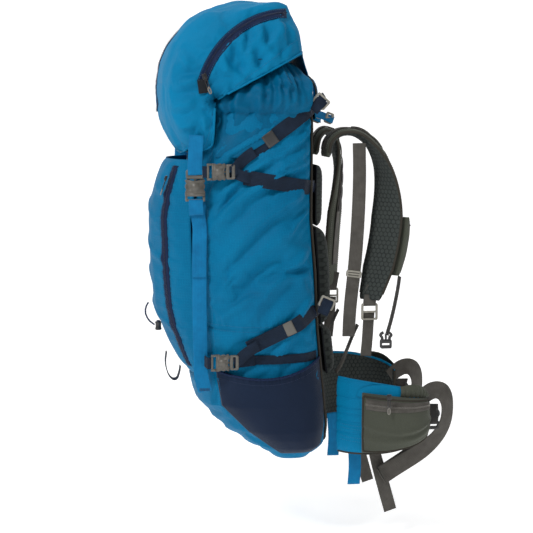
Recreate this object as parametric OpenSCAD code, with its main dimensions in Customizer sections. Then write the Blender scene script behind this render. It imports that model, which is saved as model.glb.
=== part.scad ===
// Hiking backpack hanging by its haul loop.
// Origin at the crown of the haul loop; +X towards the wearer, +Y to the wearer's left, +Z up.

/* [Bag] */
// Thickness of the bag's fabric walls
wall = 2.5; // [2:0.5:3]
// Squareness of the bag's cross-section
bag_n = 3.2; // [2.8:0.1:3.6]
// Height of the gathered collar under the lid
collar_rise = 46; // [40:1:50]
// How far the front pocket bulges from the bag
pocket_bulge = 55; // [45:1:58]
// How far the stretch side pockets stand off the bag
side_pocket_gap = 17; // [14:1:20]

/* [Lid] */
// Half width of the lid
lid_half = 156; // [152:1:158]
// Thickness of the lid's fabric
lid_wall = 3; // [2:0.5:3]

/* [Webbing] */
// Width of the lid straps
lid_web = 25; // [20:1:25]
// Width of the compression straps
side_web = 20; // [15:1:22]
// Width of the hip belt strap
belt_web = 38; // [30:1:40]
// Thickness of the webbing
web_t = 1.8; // [1.2:0.2:2]

/* [Harness] */
// Width of the shoulder pads
shoulder_w = 62; // [56:1:66]
// Thickness of the shoulder pads
shoulder_t = 13; // [10:1:14]
// Thickness of the hip belt wings
wing_t = 12; // [10:1:13]
// Half width of the back pad
back_pad_half = 64; // [56:1:66]

/* [Hidden] */

// Front, back and half width of the bag against height
bag_front = [[-742, -60], [-715, -96], [-680, -142], [-630, -190], [-580, -199], [-500, -206],
    [-400, -215], [-300, -218], [-200, -206], [-130, -196], [-60, -184], [0, -175]];
bag_back = [[-742, 8], [-715, 38], [-680, 43], [-630, 43], [-580, 37], [-500, 28], [-400, 24],
    [-300, 16], [-200, 17], [-130, 19], [-60, 9], [0, -10]];
bag_half = [[-742, 110], [-715, 135], [-680, 150], [-630, 160], [-580, 165], [-500, 170], [-400, 170],
    [-300, 168], [-200, 160], [-130, 150], [-60, 140], [0, 132]];
base_z = -742;
panel_low = -738;
panel_top = -112;
collar_low = -110;
// How far the gathers draw the collar in
collar_inset = 18;
// Section angles of the seams, from +X
back_seam = 50;
front_seam = 130;
seam_gap = 0.4;

// Arc of the front pocket, seen from the side
pocket_c = [117, -359];
pocket_r = 395;
pocket_low = -580;
pocket_high = -194;
pocket_half = 128;
front_zip_y = 80;
zip_half = 5;

// Lid outline about the corner of its hem: angle, radius
lid_c = [-171, -91];
lid_outline = [[28, 178], [32, 182], [39, 192], [47, 195], [51, 205], [60, 189], [79, 161], [105, 133],
    [131, 105], [159, 84], [195, 80], [213, 84], [230, 94], [242, 103]];
lid_flap_angle = 242;
lid_rear_angle = 28;
lid_n = 3.6;
lid_zip_c = [-30, -108];
lid_zip_r = 170;

buckle_t = 10;
tongue_t = 5;
fit = 0.6;
gap = 1.5;
slider_t = 3;

blue = "#0f7fb0";
navy = "#22365a";
grey = "#5d5a54";
black = "#2c2c2e";

function unit(v) = v / norm(v);
function mix(a, b, t) = a + (b - a) * t;
function rail(path, t) =
    let(s = t * (len(path) - 1), i = min(floor(s), len(path) - 2))
    mix(path[i], path[i + 1], s - i);

// A point on the bag's surface at height z and section angle a, moved outwards
function bag_point(a, z, out) =
    let(front = lookup(z, bag_front) - out, back = lookup(z, bag_back) + out,
        ry = lookup(z, bag_half) + out, rx = (back - front) / 2,
        r = pow(pow(abs(cos(a)) / rx, bag_n) + pow(abs(sin(a)) / ry, bag_n), -1 / bag_n))
    [(front + back) / 2 + r * cos(a), r * sin(a), z];

// Half width of the bag at x and z
function side_y(x, z) =
    let(front = lookup(z, bag_front), back = lookup(z, bag_back),
        t = min(0.95, abs(2 * x - front - back) / (back - front)))
    lookup(z, bag_half) * pow(1 - pow(t, bag_n), 1 / bag_n);

// Front surface of the pocket at height z, and how it falls back towards its sides
function pocket_x(z) = pocket_c.x - sqrt(pow(pocket_r, 2) - pow(z - pocket_c.y, 2));
function pocket_fall(y) = 1 - pow(abs(y) / pocket_half, 2.6);
function front_x(y, z) =
    let(front = lookup(z, bag_front), back = lookup(z, bag_back), t = abs(y) / lookup(z, bag_half))
    (front + back) / 2 - (back - front) / 2 * pow(1 - pow(t, bag_n), 1 / bag_n);
function pocket_point(y, z, out) =
    let(x = front_x(y, z), depth = min(pocket_bulge, max(0, lookup(z, bag_front) - pocket_x(z))))
    [x - gap - out - depth * pocket_fall(y), y, z];

// A point on the lid at outline angle a and side position s, from -1 to 1, moved outwards
function lid_point(a, s, out) =
    let(r = lookup(a, lid_outline) + out, q = 90 * s, c = pow(abs(cos(q)), 2 / lid_n) + 0.03)
    [lid_c.x + r * c * cos(a), sign(s) * (lid_half + out) * pow(abs(sin(q)), 2 / lid_n),
        lid_c.y + r * c * sin(a)];
// How far a point (x, z) is from the hem corner, as a share of the outline
function lid_share(x, z) =
    let(d = [x, z] - lid_c, a = atan2(d.y, d.x) + (d.x < 0 && d.y < 0 ? 360 : 0))
    norm(d) / lookup(a, lid_outline) - 0.03;
// The point on the lid's right side above (x, z), moved outwards
function lid_side(x, z, out) =
    let(d = [x, z] - lid_c) lid_point(atan2(d.y, d.x), -acos(pow(lid_share(x, z), lid_n / 2)) / 90, out);

// Closed solid between the surfaces f(u, v, 0) and f(u, v, 1); u, v and w are right-handed
module slab(nu, nv, f) {
    n = (nu + 1) * (nv + 1);
    id = function(w, i, j) w * n + i * (nv + 1) + j;
    quads = concat(
        [for (i = [0:nu - 1], j = [0:nv - 1])
            [id(1, i, j), id(1, i, j + 1), id(1, i + 1, j + 1), id(1, i + 1, j)]],
        [for (i = [0:nu - 1], j = [0:nv - 1])
            [id(0, i, j), id(0, i + 1, j), id(0, i + 1, j + 1), id(0, i, j + 1)]],
        [for (i = [0:nu - 1]) [id(0, i, 0), id(1, i, 0), id(1, i + 1, 0), id(0, i + 1, 0)]],
        [for (i = [0:nu - 1]) [id(0, i, nv), id(0, i + 1, nv), id(1, i + 1, nv), id(1, i, nv)]],
        [for (j = [0:nv - 1]) [id(0, 0, j), id(0, 0, j + 1), id(1, 0, j + 1), id(1, 0, j)]],
        [for (j = [0:nv - 1]) [id(0, nu, j), id(1, nu, j), id(1, nu, j + 1), id(0, nu, j + 1)]]);
    polyhedron(
        points = [for (w = [0, 1], i = [0:nu], j = [0:nv]) f(i / nu, j / nv, w)],
        faces = [for (q = quads, k = [0, 1]) k == 0 ? [q[0], q[1], q[2]] : [q[0], q[2], q[3]]]);
}

// Closed band around the bag between the surfaces f(a, v, 0) and f(a, v, 1)
module band(nu, nv, f) {
    n = nu * (nv + 1);
    id = function(w, i, j) w * n + (i % nu) * (nv + 1) + j;
    quads = concat(
        [for (i = [0:nu - 1], j = [0:nv - 1])
            [id(1, i, j), id(1, i, j + 1), id(1, i + 1, j + 1), id(1, i + 1, j)]],
        [for (i = [0:nu - 1], j = [0:nv - 1])
            [id(0, i, j), id(0, i + 1, j), id(0, i + 1, j + 1), id(0, i, j + 1)]],
        [for (i = [0:nu - 1]) [id(0, i, 0), id(1, i, 0), id(1, i + 1, 0), id(0, i + 1, 0)]],
        [for (i = [0:nu - 1]) [id(0, i, nv), id(0, i + 1, nv), id(1, i + 1, nv), id(1, i, nv)]]);
    polyhedron(
        points = [for (w = [0, 1], i = [0:nu - 1], j = [0:nv]) f(i / nu, j / nv, w)],
        faces = [for (q = quads, k = [0, 1]) k == 0 ? [q[0], q[1], q[2]] : [q[0], q[2], q[3]]]);
}

// Round tube along a route
module tube(route, r, sides) {
    last = len(route) - 1;
    dir = [for (i = [0:last]) unit(route[min(i + 1, last)] - route[max(i - 1, 0)])];
    points = [for (i = [0:last], k = [0:sides - 1])
        let(side = unit(cross(dir[i], [0.2, 1, 0.1])), up = cross(side, dir[i]), a = 360 * k / sides)
        route[i] + r * (cos(a) * side + sin(a) * up)];
    walls = [for (i = [0:last - 1], k = [0:sides - 1])
        [i * sides + k, i * sides + (k + 1) % sides, (i + 1) * sides + (k + 1) % sides, (i + 1) * sides + k]];
    polyhedron(points = points, faces = concat(
        [for (q = walls, k = [0, 1]) k == 0 ? [q[0], q[1], q[2]] : [q[0], q[2], q[3]]],
        [[for (k = [sides - 1:-1:0]) k]], [[for (k = [0:sides - 1]) last * sides + k]]));
}

// Plain strip in the side plane: 2D points (x, z) joined by a line of thickness t, width across Y
module strip(route, t, w) {
    last = len(route) - 1;
    across = [for (i = [0:last])
        let(d = unit(route[min(i + 1, last)] - route[max(i - 1, 0)])) [-d.y, d.x] * t / 2];
    rotate([90, 0, 0]) translate([0, 0, -w / 2]) linear_extrude(w)
        polygon(concat([for (i = [0:last]) route[i] + across[i]], [for (i = [last:-1:0]) route[i] - across[i]]));
}

module panel(a0, a1, nu, nv) {
    slab(nu, nv, function(u, v, w)
        bag_point(mix(a0 + seam_gap, a1 - seam_gap, u), mix(panel_low, panel_top, v), (w - 1) * wall));
}

module front_panel() {
    color(blue) panel(front_seam, 360 - front_seam, 16, 20);
}

module right_side_panel() {
    color(blue) panel(360 - front_seam, 360 - back_seam, 12, 20);
}

module left_side_panel() {
    color(blue) panel(back_seam, front_seam, 12, 20);
}

module back_panel() {
    color(black) panel(-back_seam, back_seam, 14, 20);
}

// Flat sheet that the bag stands on
module bottom_panel() {
    color(blue) translate([0, 0, base_z]) linear_extrude(wall)
        polygon([for (a = [0:10:350]) let(p = bag_point(a, base_z, 0)) [p.x, p.y]]);
}

module snow_collar() {
    color(blue) band(36, 4, function(u, v, w)
        bag_point(360 * u, mix(collar_low, collar_low + collar_rise, v), -collar_inset - 6 * v + (w - 1) * wall));
}

module front_pocket() {
    color(blue) slab(16, 18, function(u, v, w)
        let(y = mix(pocket_half, -pocket_half, u) * 0.94, z = mix(pocket_low, pocket_high, v))
        pocket_point(y, z, w * wall));
}

module zip_tape_front(y0) {
    slab(2, 18, function(u, v, w)
        let(y = mix(y0 + zip_half, y0 - zip_half, u), z = mix(pocket_low + 25, pocket_high - 25, v))
        pocket_point(y, z, wall + 1 + w));
}

module front_zip_tapes() {
    color(navy) for (s = [-1, 1]) zip_tape_front(s * front_zip_y);
}

// Hem of the stretch pockets: height at its ends, how far it dips between them
pocket_base_z = -704;
pocket_hem_z = -566;
pocket_dip = 18;

module stretch_pocket() {
    slab(14, 10, function(u, v, w)
        let(top = pocket_hem_z - pocket_dip * sin(180 * u) + 16 * u, z = mix(pocket_base_z, top, v),
            x = mix(lookup(z, bag_front) + 32, lookup(z, bag_back) - 16, u),
            bulge = side_pocket_gap * sin(180 * u) * min(1, 2.2 * sqrt(v)))
        [x, -side_y(x, z) - 2 * gap - bulge - w * wall, z]);
}

module right_stretch_pocket() {
    color(navy) stretch_pocket();
}

module left_stretch_pocket() {
    color(navy) mirror([0, 1, 0]) stretch_pocket();
}

module edge_piping() {
    color(grey) for (s = [-1, 1])
        tube([for (z = [-700:20:-120]) bag_point(s * back_seam, z, 3.6)], 2, 8);
}

// Ends of the frame sheet and the stays in front of it
frame_low = -690;
frame_high = -130;
sheet_half = 84;
stay_y = 60;
stay_half = 6;

module frame_sheet() {
    color("#303234") slab(6, 14, function(u, v, w)
        let(z = mix(frame_low, frame_high, v))
        [lookup(z, bag_back) - 15 + 2 * w, mix(-sheet_half, sheet_half, u), z]);
}

module frame_stays() {
    color("silver") for (y = [-stay_y, stay_y])
        slab(1, 14, function(u, v, w)
            let(z = mix(frame_low, frame_high, v))
            [lookup(z, bag_back) - 19 + 3 * w, y + mix(-stay_half, stay_half, u), z]);
}

// Pads on the back, each as [lowest z, highest z, half width, thickness]
back_pad_size = [-500, -322, back_pad_half, 30];
lumbar_size = [-590, -506, 78, 26];
yoke_size = [-316, -206, 84, 20];

module pad(size) {
    color(black) slab(6, 10, function(u, v, w)
        let(z = mix(size[0], size[1], v), h = size[2] * (1 - 0.1 * w))
        [lookup(z, bag_back) + gap + w * size[3], mix(-h, h, u), z]);
}

module back_pad() {
    pad(back_pad_size);
}

module lumbar_pad() {
    pad(lumbar_size);
}

module shoulder_yoke() {
    pad(yoke_size);
}

// Folded webbing standing up at the back of the collar
module haul_loop() {
    color(navy) translate([2, 0, -16]) rotate([90, 0, 90]) translate([0, 0, -4]) {
        rotate_extrude(angle = 180, $fn = 48) translate([13, 0]) square([3, 8]);
        for (s = [-1, 1]) translate([s * 14.5 - 1.5, -75]) cube([3, 75, 8]);
    }
}

// Padded grab loop on the top of the back panel
module grab_handle() {
    color(grey) strip([[24, -118], [25, -106], [29, -94], [32, -80], [30, -66], [25, -55], [18, -47], [13, -45]],
        3.5, 26);
}

// Webbing leg on the side of the bag from p0 to p1, given as (x, z)
module side_leg(p0, p1, w0, lift) {
    dir = unit(p1 - p0);
    nrm = [-dir.y, dir.x];
    slab(ceil(norm(p1 - p0) / 9), 2, function(u, v, w)
        let(p = mix(p0, p1, u) + (v - 0.5) * w0 * nrm) [p.x, -side_y(p.x, p.y) - lift - w * web_t, p.y]);
}

module compression_set() {
    side_leg([-119, -188], [-4, -108], side_web, 5);
    side_leg([-119, -224], [-6, -246], side_web, 2);
    side_leg([-114, -522], [4, -468], side_web, 5);
    side_leg([-114, -545], [-8, -545], side_web * 0.8, 2);
}

module compression_straps() {
    color(navy) {
        compression_set();
        mirror([0, 1, 0]) compression_set();
    }
}

// Flat ladder frame in the X-Z plane with two crossbars
module ladder(w, h, t) {
    rotate([90, 0, 0]) translate([0, 0, -t / 2]) linear_extrude(t) difference() {
        square([w, h], center = true);
        for (s = [-1, 1]) translate([0, s * h / 4.6]) square([w - 7, h / 3.4], center = true);
    }
}

module ladderlock_set() {
    translate([20, -124, -92]) rotate([0, 42, 0]) ladder(side_web + 8, 20, 4);
    translate([30, -138, -450]) rotate([0, 24, 0]) ladder(side_web + 8, 20, 4);
}

module compression_ladderlocks() {
    color(grey) {
        ladderlock_set();
        mirror([0, 1, 0]) ladderlock_set();
    }
}

// Buckle housing: its mouth faces +X, its webbing bar is at -X
module housing(web, length, open_side) {
    w = web + 9;
    difference() {
        translate([-length, -buckle_t / 2, -w / 2]) cube([length, buckle_t, w]);
        translate([-length * 0.55, -tongue_t / 2 - fit, -web / 2 - fit])
            cube([length, tongue_t + 2 * fit, web + 2 * fit + (open_side ? w : 0)]);
        translate([-length + 4, -buckle_t, -web / 2]) cube([4, 2 * buckle_t, web]);
    }
}

// Buckle plug: prongs reach into the housing, webbing bar outside
module plug(web, length) {
    reach = length * 0.55 - fit;
    rotate([90, 0, 0]) translate([0, 0, -tongue_t / 2]) linear_extrude(tongue_t) difference() {
        union() {
            translate([fit, -web / 2 - 3]) square([16, web + 6]);
            for (s = [-1, 1]) translate([-reach, s * (web / 2 - 3.5) - 3]) square([reach + fit + 1, 6]);
            translate([-reach * 0.8, -2]) square([reach * 0.8 + fit + 1, 4]);
        }
        translate([7, -web / 2]) square([4, web]);
    }
}

side_buckles = [[-155, -213], [-150, -547]];

function buckle_seat(p) = side_y(p.x + 12, p.y) + buckle_t / 2 + gap + 2;

module compression_sockets() {
    color(grey) for (s = [-1, 1], p = side_buckles)
        translate([p.x, s * buckle_seat(p), p.y]) housing(side_web, 32, false);
}

module side_plug(p, s) {
    color(grey) translate([p.x, s * buckle_seat(p), p.y]) plug(side_web, 32);
}

module plug_upper_right() {
    side_plug(side_buckles[0], -1);
}

module plug_upper_left() {
    side_plug(side_buckles[0], 1);
}

module plug_lower_right() {
    side_plug(side_buckles[1], -1);
}

module plug_lower_left() {
    side_plug(side_buckles[1], 1);
}

// Lid strap: the housing's mouth is at this height, its centre at this x and y
lid_buckle = [-207, -160, -226];

module lid_strap_run() {
    slab(1, 16, function(u, v, w)
        let(z = mix(-590, -268, v), x = -197 + (u - 0.5) * lid_web - 3 * sin(180 * v) + (v > 0.9 ? -3 : 0))
        [x, -148 - 4 * sin(180 * v) - web_t * w, z]);
}

module lid_strap_webbing() {
    color(blue) for (s = [0, 1]) mirror([0, s, 0]) lid_strap_run();
}

module lid_socket() {
    translate(lid_buckle) rotate([0, -90, 0]) housing(lid_web, 38, true);
}

module lid_socket_right() {
    color(grey) lid_socket();
}

module lid_socket_left() {
    color(grey) mirror([0, 1, 0]) lid_socket();
}

module lid_plugs() {
    color(grey) for (s = [0, 1]) mirror([0, s, 0])
        translate(lid_buckle) rotate([0, -90, 0]) plug(lid_web, 38);
}

// Webbing from the flap down to each plug
module lid_tabs() {
    color(blue) for (s = [-1, 1])
        translate([lid_buckle.x - lid_web / 2, s * -lid_buckle.y - web_t / 2, lid_buckle.z + 17.5])
            cube([lid_web, web_t, 56]);
}

module lid_shell() {
    color(blue) slab(30, 24, function(u, v, w)
        let(a = mix(lid_flap_angle, lid_rear_angle, u), s = mix(-1, 1, v)) lid_point(a, s, (w - 1) * lid_wall));
}

module lid_underside() {
    color(navy) slab(10, 12, function(u, v, w)
        let(x = mix(-232, -36, u), z = -12 + (x + 22) * 0.14, half = -lid_side(x, z, -12).y)
        [x, mix(-half, half, v), z + lid_wall * w]);
}

module lid_zip() {
    slab(16, 1, function(u, v, w)
        let(a = mix(162, 118, u), r = lid_zip_r + mix(-zip_half, zip_half, v),
            x = lid_zip_c.x + r * cos(a), z = lid_zip_c.y + r * sin(a))
        lid_side(x, z, 1.5 + w));
}

module lid_zip_tapes() {
    color(navy) for (s = [0, 1]) mirror([0, s, 0]) lid_zip();
}

// Zip slider: body and hanging pull, in the X-Z plane
module zip_slider(a) {
    rotate([0, a, 0]) {
        translate([-5, -slider_t / 2, -4]) cube([10, slider_t, 8]);
        translate([-2.5, -slider_t / 2, -26]) cube([5, slider_t, 22.5]);
    }
}

module lid_slider(s) {
    x = lid_zip_c.x + lid_zip_r * cos(160);
    z = lid_zip_c.y + lid_zip_r * sin(160);
    color(black) translate([x, s * (lid_half + 6), z]) zip_slider(-20);
}

module lid_slider_right() {
    lid_slider(-1);
}

module lid_slider_left() {
    lid_slider(1);
}

module front_slider(s) {
    p = pocket_point(front_zip_y, -228, wall + 9);
    color(black) translate([p.x, s * front_zip_y, p.z]) rotate([0, 19, 0]) {
        translate([-2, -4, -5]) cube([3, 8, 10]);
        translate([-2, -2.5, -28]) cube([2, 5, 23.5]);
    }
}

module front_slider_right() {
    front_slider(-1);
}

module front_slider_left() {
    front_slider(1);
}

module load_lifters() {
    color(navy) for (s = [-1, 1])
        translate([0, s * 62, 0]) strip([[22, -116], [38, -120], [54, -125]], web_t, 20);
}

module ice_axe_loop() {
    color(navy) translate([0, 20, 0])
        strip([[-248, -560], [-250, -580], [-246, -600], [-238, -612], [-229, -612], [-224, -600],
            [-222, -588]], web_t, 20);
}

lock_c = [-262, 30, -512];

module cord_lock_barrel() {
    color(black) translate(lock_c) difference() {
        cylinder(r = 6, h = 16, center = true, $fn = 32);
        translate([0, 0, 3]) cylinder(r = 4, h = 16, $fn = 32);
    }
}

module cord_lock_button() {
    color(navy) translate(lock_c + [0, 0, 6.5]) cylinder(r = 3.6, h = 8, $fn = 32);
}

bungee_route = [[-269, 30, -510], [-272, 30, -508], [-278, 29, -503], [-283, 28, -496], [-286, 28, -488],
    [-286, 28, -480], [-284, 29, -473], [-280, 30, -467]];

module tool_bungee() {
    color(navy) tube(bungee_route, 1.6, 8);
}

// Shoulder pads: centre line from the yoke over the shoulder and down
right_route = [[40, -62, -192], [46, -64, -164], [66, -68, -148], [96, -74, -150], [122, -82, -172],
    [140, -90, -208], [147, -98, -252], [146, -104, -300], [139, -108, -350], [127, -110, -402], [114, -110, -450]];
left_route = [[40, 62, -192], [46, 66, -162], [60, 76, -148], [76, 86, -152], [88, 96, -176], [94, 104, -212],
    [94, 108, -256], [91, 112, -306], [88, 116, -356], [86, 118, -406], [86, 118, -452]];

// The pad turns edge-on to the wearer lower down: how far round at t along it
function pad_turn(t, most) = most * min(1, max(0, (t - 0.3) / 0.3));

module shoulder_pad(route, most, w0, t0) {
    slab(16, 4, function(u, v, w)
        let(c = rail(route, u), t = rail(route, min(1, u + 0.03)) - rail(route, max(0, u - 0.03)),
            a = pad_turn(u, most), across = [sin(a), -cos(a), 0], n = unit(cross(unit(t), across)),
            taper = u > 0.85 ? 1 - 2 * (u - 0.85) : 1)
        c + (v - 0.5) * w0 * taper * across + (w - 0.5) * t0 * n);
}

module shoulder_pad_right() {
    color(grey) shoulder_pad(right_route, 45, shoulder_w, shoulder_t);
}

module shoulder_pad_left() {
    color(grey) shoulder_pad(left_route, -10, shoulder_w, shoulder_t);
}

// Stretch pouch on the outer face of the right pad
module shoulder_pouch() {
    color(grey) translate([18, -22, 0]) slab(8, 4, function(u, v, w)
        let(c = rail(right_route, mix(0.62, 0.88, u)),
            across = [sin(45), -cos(45), 0], out = [sin(45), cos(45), 0])
        c + [2, 18, 0] + (v - 0.5) * 50 * across + (4 + 16 * w * (0.4 + 0.6 * sin(180 * u))) * out);
}

// Free end of the load lifter, hanging flat beside the right pad
module lifter_tail() {
    color(grey) translate([0, -112, 0])
        strip([[92, -166], [93, -230], [91, -300], [86, -380], [78, -460], [75, -516]], 24, web_t);
}

module adjuster(route) {
    p = route[len(route) - 1];
    translate([p.x, p.y, p.z - 22]) ladder(30, 30, 4);
}

module shoulder_adjuster_right() {
    color(grey) adjuster(right_route);
}

module shoulder_adjuster_left() {
    color(grey) adjuster(left_route);
}

// Webbing from the lower corner of the back up towards each adjuster
module lower_shoulder_webbing() {
    color(grey) for (s = [-1, 1])
        translate([0, s * 92, 0])
            strip([[56, -586], [66, -570], [78, -540], [88, -515], [96, -498]], web_t, 20);
}

module sternum_strap(p) {
    translate(p) {
        strip([[0, 8], [-4, -20], [-12, -60], [-22, -98]], web_t, 20);
        translate([-31, -4, -122]) cube([16, 8, 22]);
    }
}

module sternum_strap_right() {
    color(black) sternum_strap([162, -140, -412]);
}

module sternum_strap_left() {
    color(black) sternum_strap([104, 166, -400]);
}

// Hip belt wing: plan of its centre line from the hinge, right side
wing_plan = [[58, -110], [78, -134], [104, -150], [134, -158], [164, -158], [190, -148], [208, -130], [216, -112]];

function wing_point(u, v, out) =
    let(p = rail(wing_plan, u), q = rail(wing_plan, min(1, u + 0.04)) - rail(wing_plan, max(0, u - 0.04)),
        n = unit([q.y, -q.x]), top = mix(-592, -626, u * u), low = mix(-716, -700, u) + 46 * pow(u, 4))
    [p.x + n.x * out, p.y + n.y * out, mix(low, top, v)];

module belt_wing() {
    slab(14, 5, function(u, v, w) wing_point(u, v, (w - 0.5) * wing_t));
}

module belt_wing_right() {
    color(blue) belt_wing();
}

module belt_wing_left() {
    color(blue) mirror([0, 1, 0]) belt_wing();
}

module belt_pocket() {
    slab(10, 5, function(u, v, w)
        wing_point(mix(0.3, 0.8, u), mix(0.08, 0.84, v),
            wing_t / 2 + 2.2 + w * (8 + 20 * sin(180 * mix(0.08, 0.92, u)) * (0.5 + 0.5 * sin(180 * v)))));
}

module belt_pocket_right() {
    color(grey) belt_pocket();
}

module belt_pocket_left() {
    color(grey) mirror([0, 1, 0]) belt_pocket();
}

// Belt strap with its turned-back end, buckle half and the two hanging tails, all flat in the X-Z plane
module belt_end() {
    translate([0, -112, 0]) strip([[258, -630], [262, -660], [254, -694], [226, -726], [186, -752], [140, -778]],
        belt_web * 0.9, web_t);
    translate([0, -108, 0]) strip([[198, -744], [140, -778]], belt_web * 0.8, web_t);
    translate([222, -126, -704]) cube([8, 28, 54]);
    translate([0, -98, 0]) strip([[100, -722], [118, -784], [136, -848]], 24, web_t);
    translate([0, -102, 0]) strip([[74, -719], [75, -745], [74, -773]], 24, web_t);
}

module belt_webbing_right() {
    color(grey) belt_end();
}

module belt_webbing_left() {
    color(grey) mirror([0, 1, 0]) belt_end();
}

module belt_slider() {
    p = wing_point(0.42, 0.84, wing_t / 2);
    translate([p.x, p.y - 36, p.z + 4]) zip_slider(0);
}

module belt_slider_right() {
    color(black) belt_slider();
}

module belt_slider_left() {
    color(black) mirror([0, 1, 0]) belt_slider();
}

front_panel();
right_side_panel();
left_side_panel();
bottom_panel();
back_panel();
snow_collar();
front_pocket();
front_zip_tapes();
right_stretch_pocket();
left_stretch_pocket();
edge_piping();
frame_sheet();
frame_stays();
back_pad();
lumbar_pad();
shoulder_yoke();
haul_loop();
grab_handle();
compression_straps();
compression_ladderlocks();
compression_sockets();
lid_strap_webbing();
load_lifters();
ice_axe_loop();
cord_lock_barrel();
tool_bungee();
lower_shoulder_webbing();
lid_shell();
lid_underside();
lid_zip_tapes();
lid_tabs();
lid_plugs();
lid_slider_right();
lid_slider_left();
lid_socket_right();
lid_socket_left();
plug_upper_right();
plug_upper_left();
plug_lower_right();
plug_lower_left();
front_slider_right();
front_slider_left();
cord_lock_button();
shoulder_pad_right();
shoulder_pad_left();
shoulder_pouch();
shoulder_adjuster_right();
shoulder_adjuster_left();
lifter_tail();
sternum_strap_right();
sternum_strap_left();
belt_wing_right();
belt_wing_left();
belt_pocket_right();
belt_pocket_left();
belt_webbing_right();
belt_webbing_left();
belt_slider_right();
belt_slider_left();
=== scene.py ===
import math
import bmesh
import bpy
import numpy as np
from mathutils import Matrix, Vector
from mathutils.bvhtree import BVHTree


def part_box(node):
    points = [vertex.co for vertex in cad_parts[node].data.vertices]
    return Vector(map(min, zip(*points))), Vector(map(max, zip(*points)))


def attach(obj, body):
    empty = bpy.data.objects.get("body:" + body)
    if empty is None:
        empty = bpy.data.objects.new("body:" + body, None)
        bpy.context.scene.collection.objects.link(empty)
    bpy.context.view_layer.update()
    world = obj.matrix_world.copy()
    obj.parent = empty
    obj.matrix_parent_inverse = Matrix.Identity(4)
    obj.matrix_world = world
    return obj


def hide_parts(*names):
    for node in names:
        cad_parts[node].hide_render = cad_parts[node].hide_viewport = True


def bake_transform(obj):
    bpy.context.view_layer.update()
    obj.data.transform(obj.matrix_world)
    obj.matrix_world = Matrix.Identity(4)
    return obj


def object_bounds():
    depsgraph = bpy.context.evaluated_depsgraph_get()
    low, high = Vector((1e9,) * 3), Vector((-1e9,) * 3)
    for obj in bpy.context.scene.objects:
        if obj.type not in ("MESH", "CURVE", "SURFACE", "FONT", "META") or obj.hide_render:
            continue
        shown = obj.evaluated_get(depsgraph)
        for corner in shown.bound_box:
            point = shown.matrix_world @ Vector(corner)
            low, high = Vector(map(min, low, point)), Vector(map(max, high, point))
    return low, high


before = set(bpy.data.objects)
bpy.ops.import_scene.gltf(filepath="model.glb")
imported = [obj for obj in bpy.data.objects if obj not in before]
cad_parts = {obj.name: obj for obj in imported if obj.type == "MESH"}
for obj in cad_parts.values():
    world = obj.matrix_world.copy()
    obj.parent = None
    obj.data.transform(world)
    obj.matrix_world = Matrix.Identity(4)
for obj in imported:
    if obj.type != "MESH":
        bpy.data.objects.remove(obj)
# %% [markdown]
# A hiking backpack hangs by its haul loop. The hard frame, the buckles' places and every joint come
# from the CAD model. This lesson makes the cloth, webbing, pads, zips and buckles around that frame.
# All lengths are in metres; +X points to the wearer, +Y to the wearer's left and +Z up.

cad_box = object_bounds()
MM = 0.001
RIGHT, LEFT = -1, 1
print("CAD box", [tuple(round(c, 3) for c in corner) for corner in cad_box])

# %% [markdown]
# Colours are written as the hex values a designer would pick on a screen. Cycles works in linear
# light, so one function turns each hex value into linear numbers.

# %% Colours
def colour(hex_value):
    parts = [int(hex_value[i:i + 2], 16) / 255 for i in (1, 3, 5)]
    linear = [c / 12.92 if c <= 0.04045 else ((c + 0.055) / 1.055) ** 2.4 for c in parts]
    return (*linear, 1.0)


print("ripstop blue in linear light", [round(c, 3) for c in colour("#0f7fb0")])

# %% [markdown]
# Every material is a small tree of nodes. One function adds a node, sets its values and joins its
# inputs, so that a material reads as a short list of steps.

# %% A function that adds a node
def node(tree, kind, links=None, **settings):
    made = tree.nodes.new(kind)
    for key, value in settings.items():
        setattr(made, key, value)
    for socket, source in (links or {}).items():
        if hasattr(source, "is_output"):
            tree.links.new(source, made.inputs[socket])
        else:
            made.inputs[socket].default_value = source
    return made


def material(name, roughness, sheen=0.0, specular=0.5, metallic=0.0):
    made = bpy.data.materials.new(name)
    made.use_nodes = True
    shader = made.node_tree.nodes["Principled BSDF"]
    shader.inputs["Roughness"].default_value = roughness
    shader.inputs["Specular IOR Level"].default_value = specular
    shader.inputs["Metallic"].default_value = metallic
    shader.inputs["Sheen Weight"].default_value = sheen
    shader.inputs["Sheen Roughness"].default_value = 0.4
    return made, made.node_tree, shader


print("node helpers ready")

# %% [markdown]
# Ripstop nylon is a thin plain weave with a thicker thread every few millimetres, which draws a fine
# grid on the cloth. Its coating gives a soft shine. The grid follows the cloth, so the pattern reads
# the piece's own UV map, which holds metres along the cloth. Noise at arm's length scale gives the
# slight fading that sun and handling leave.

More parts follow.
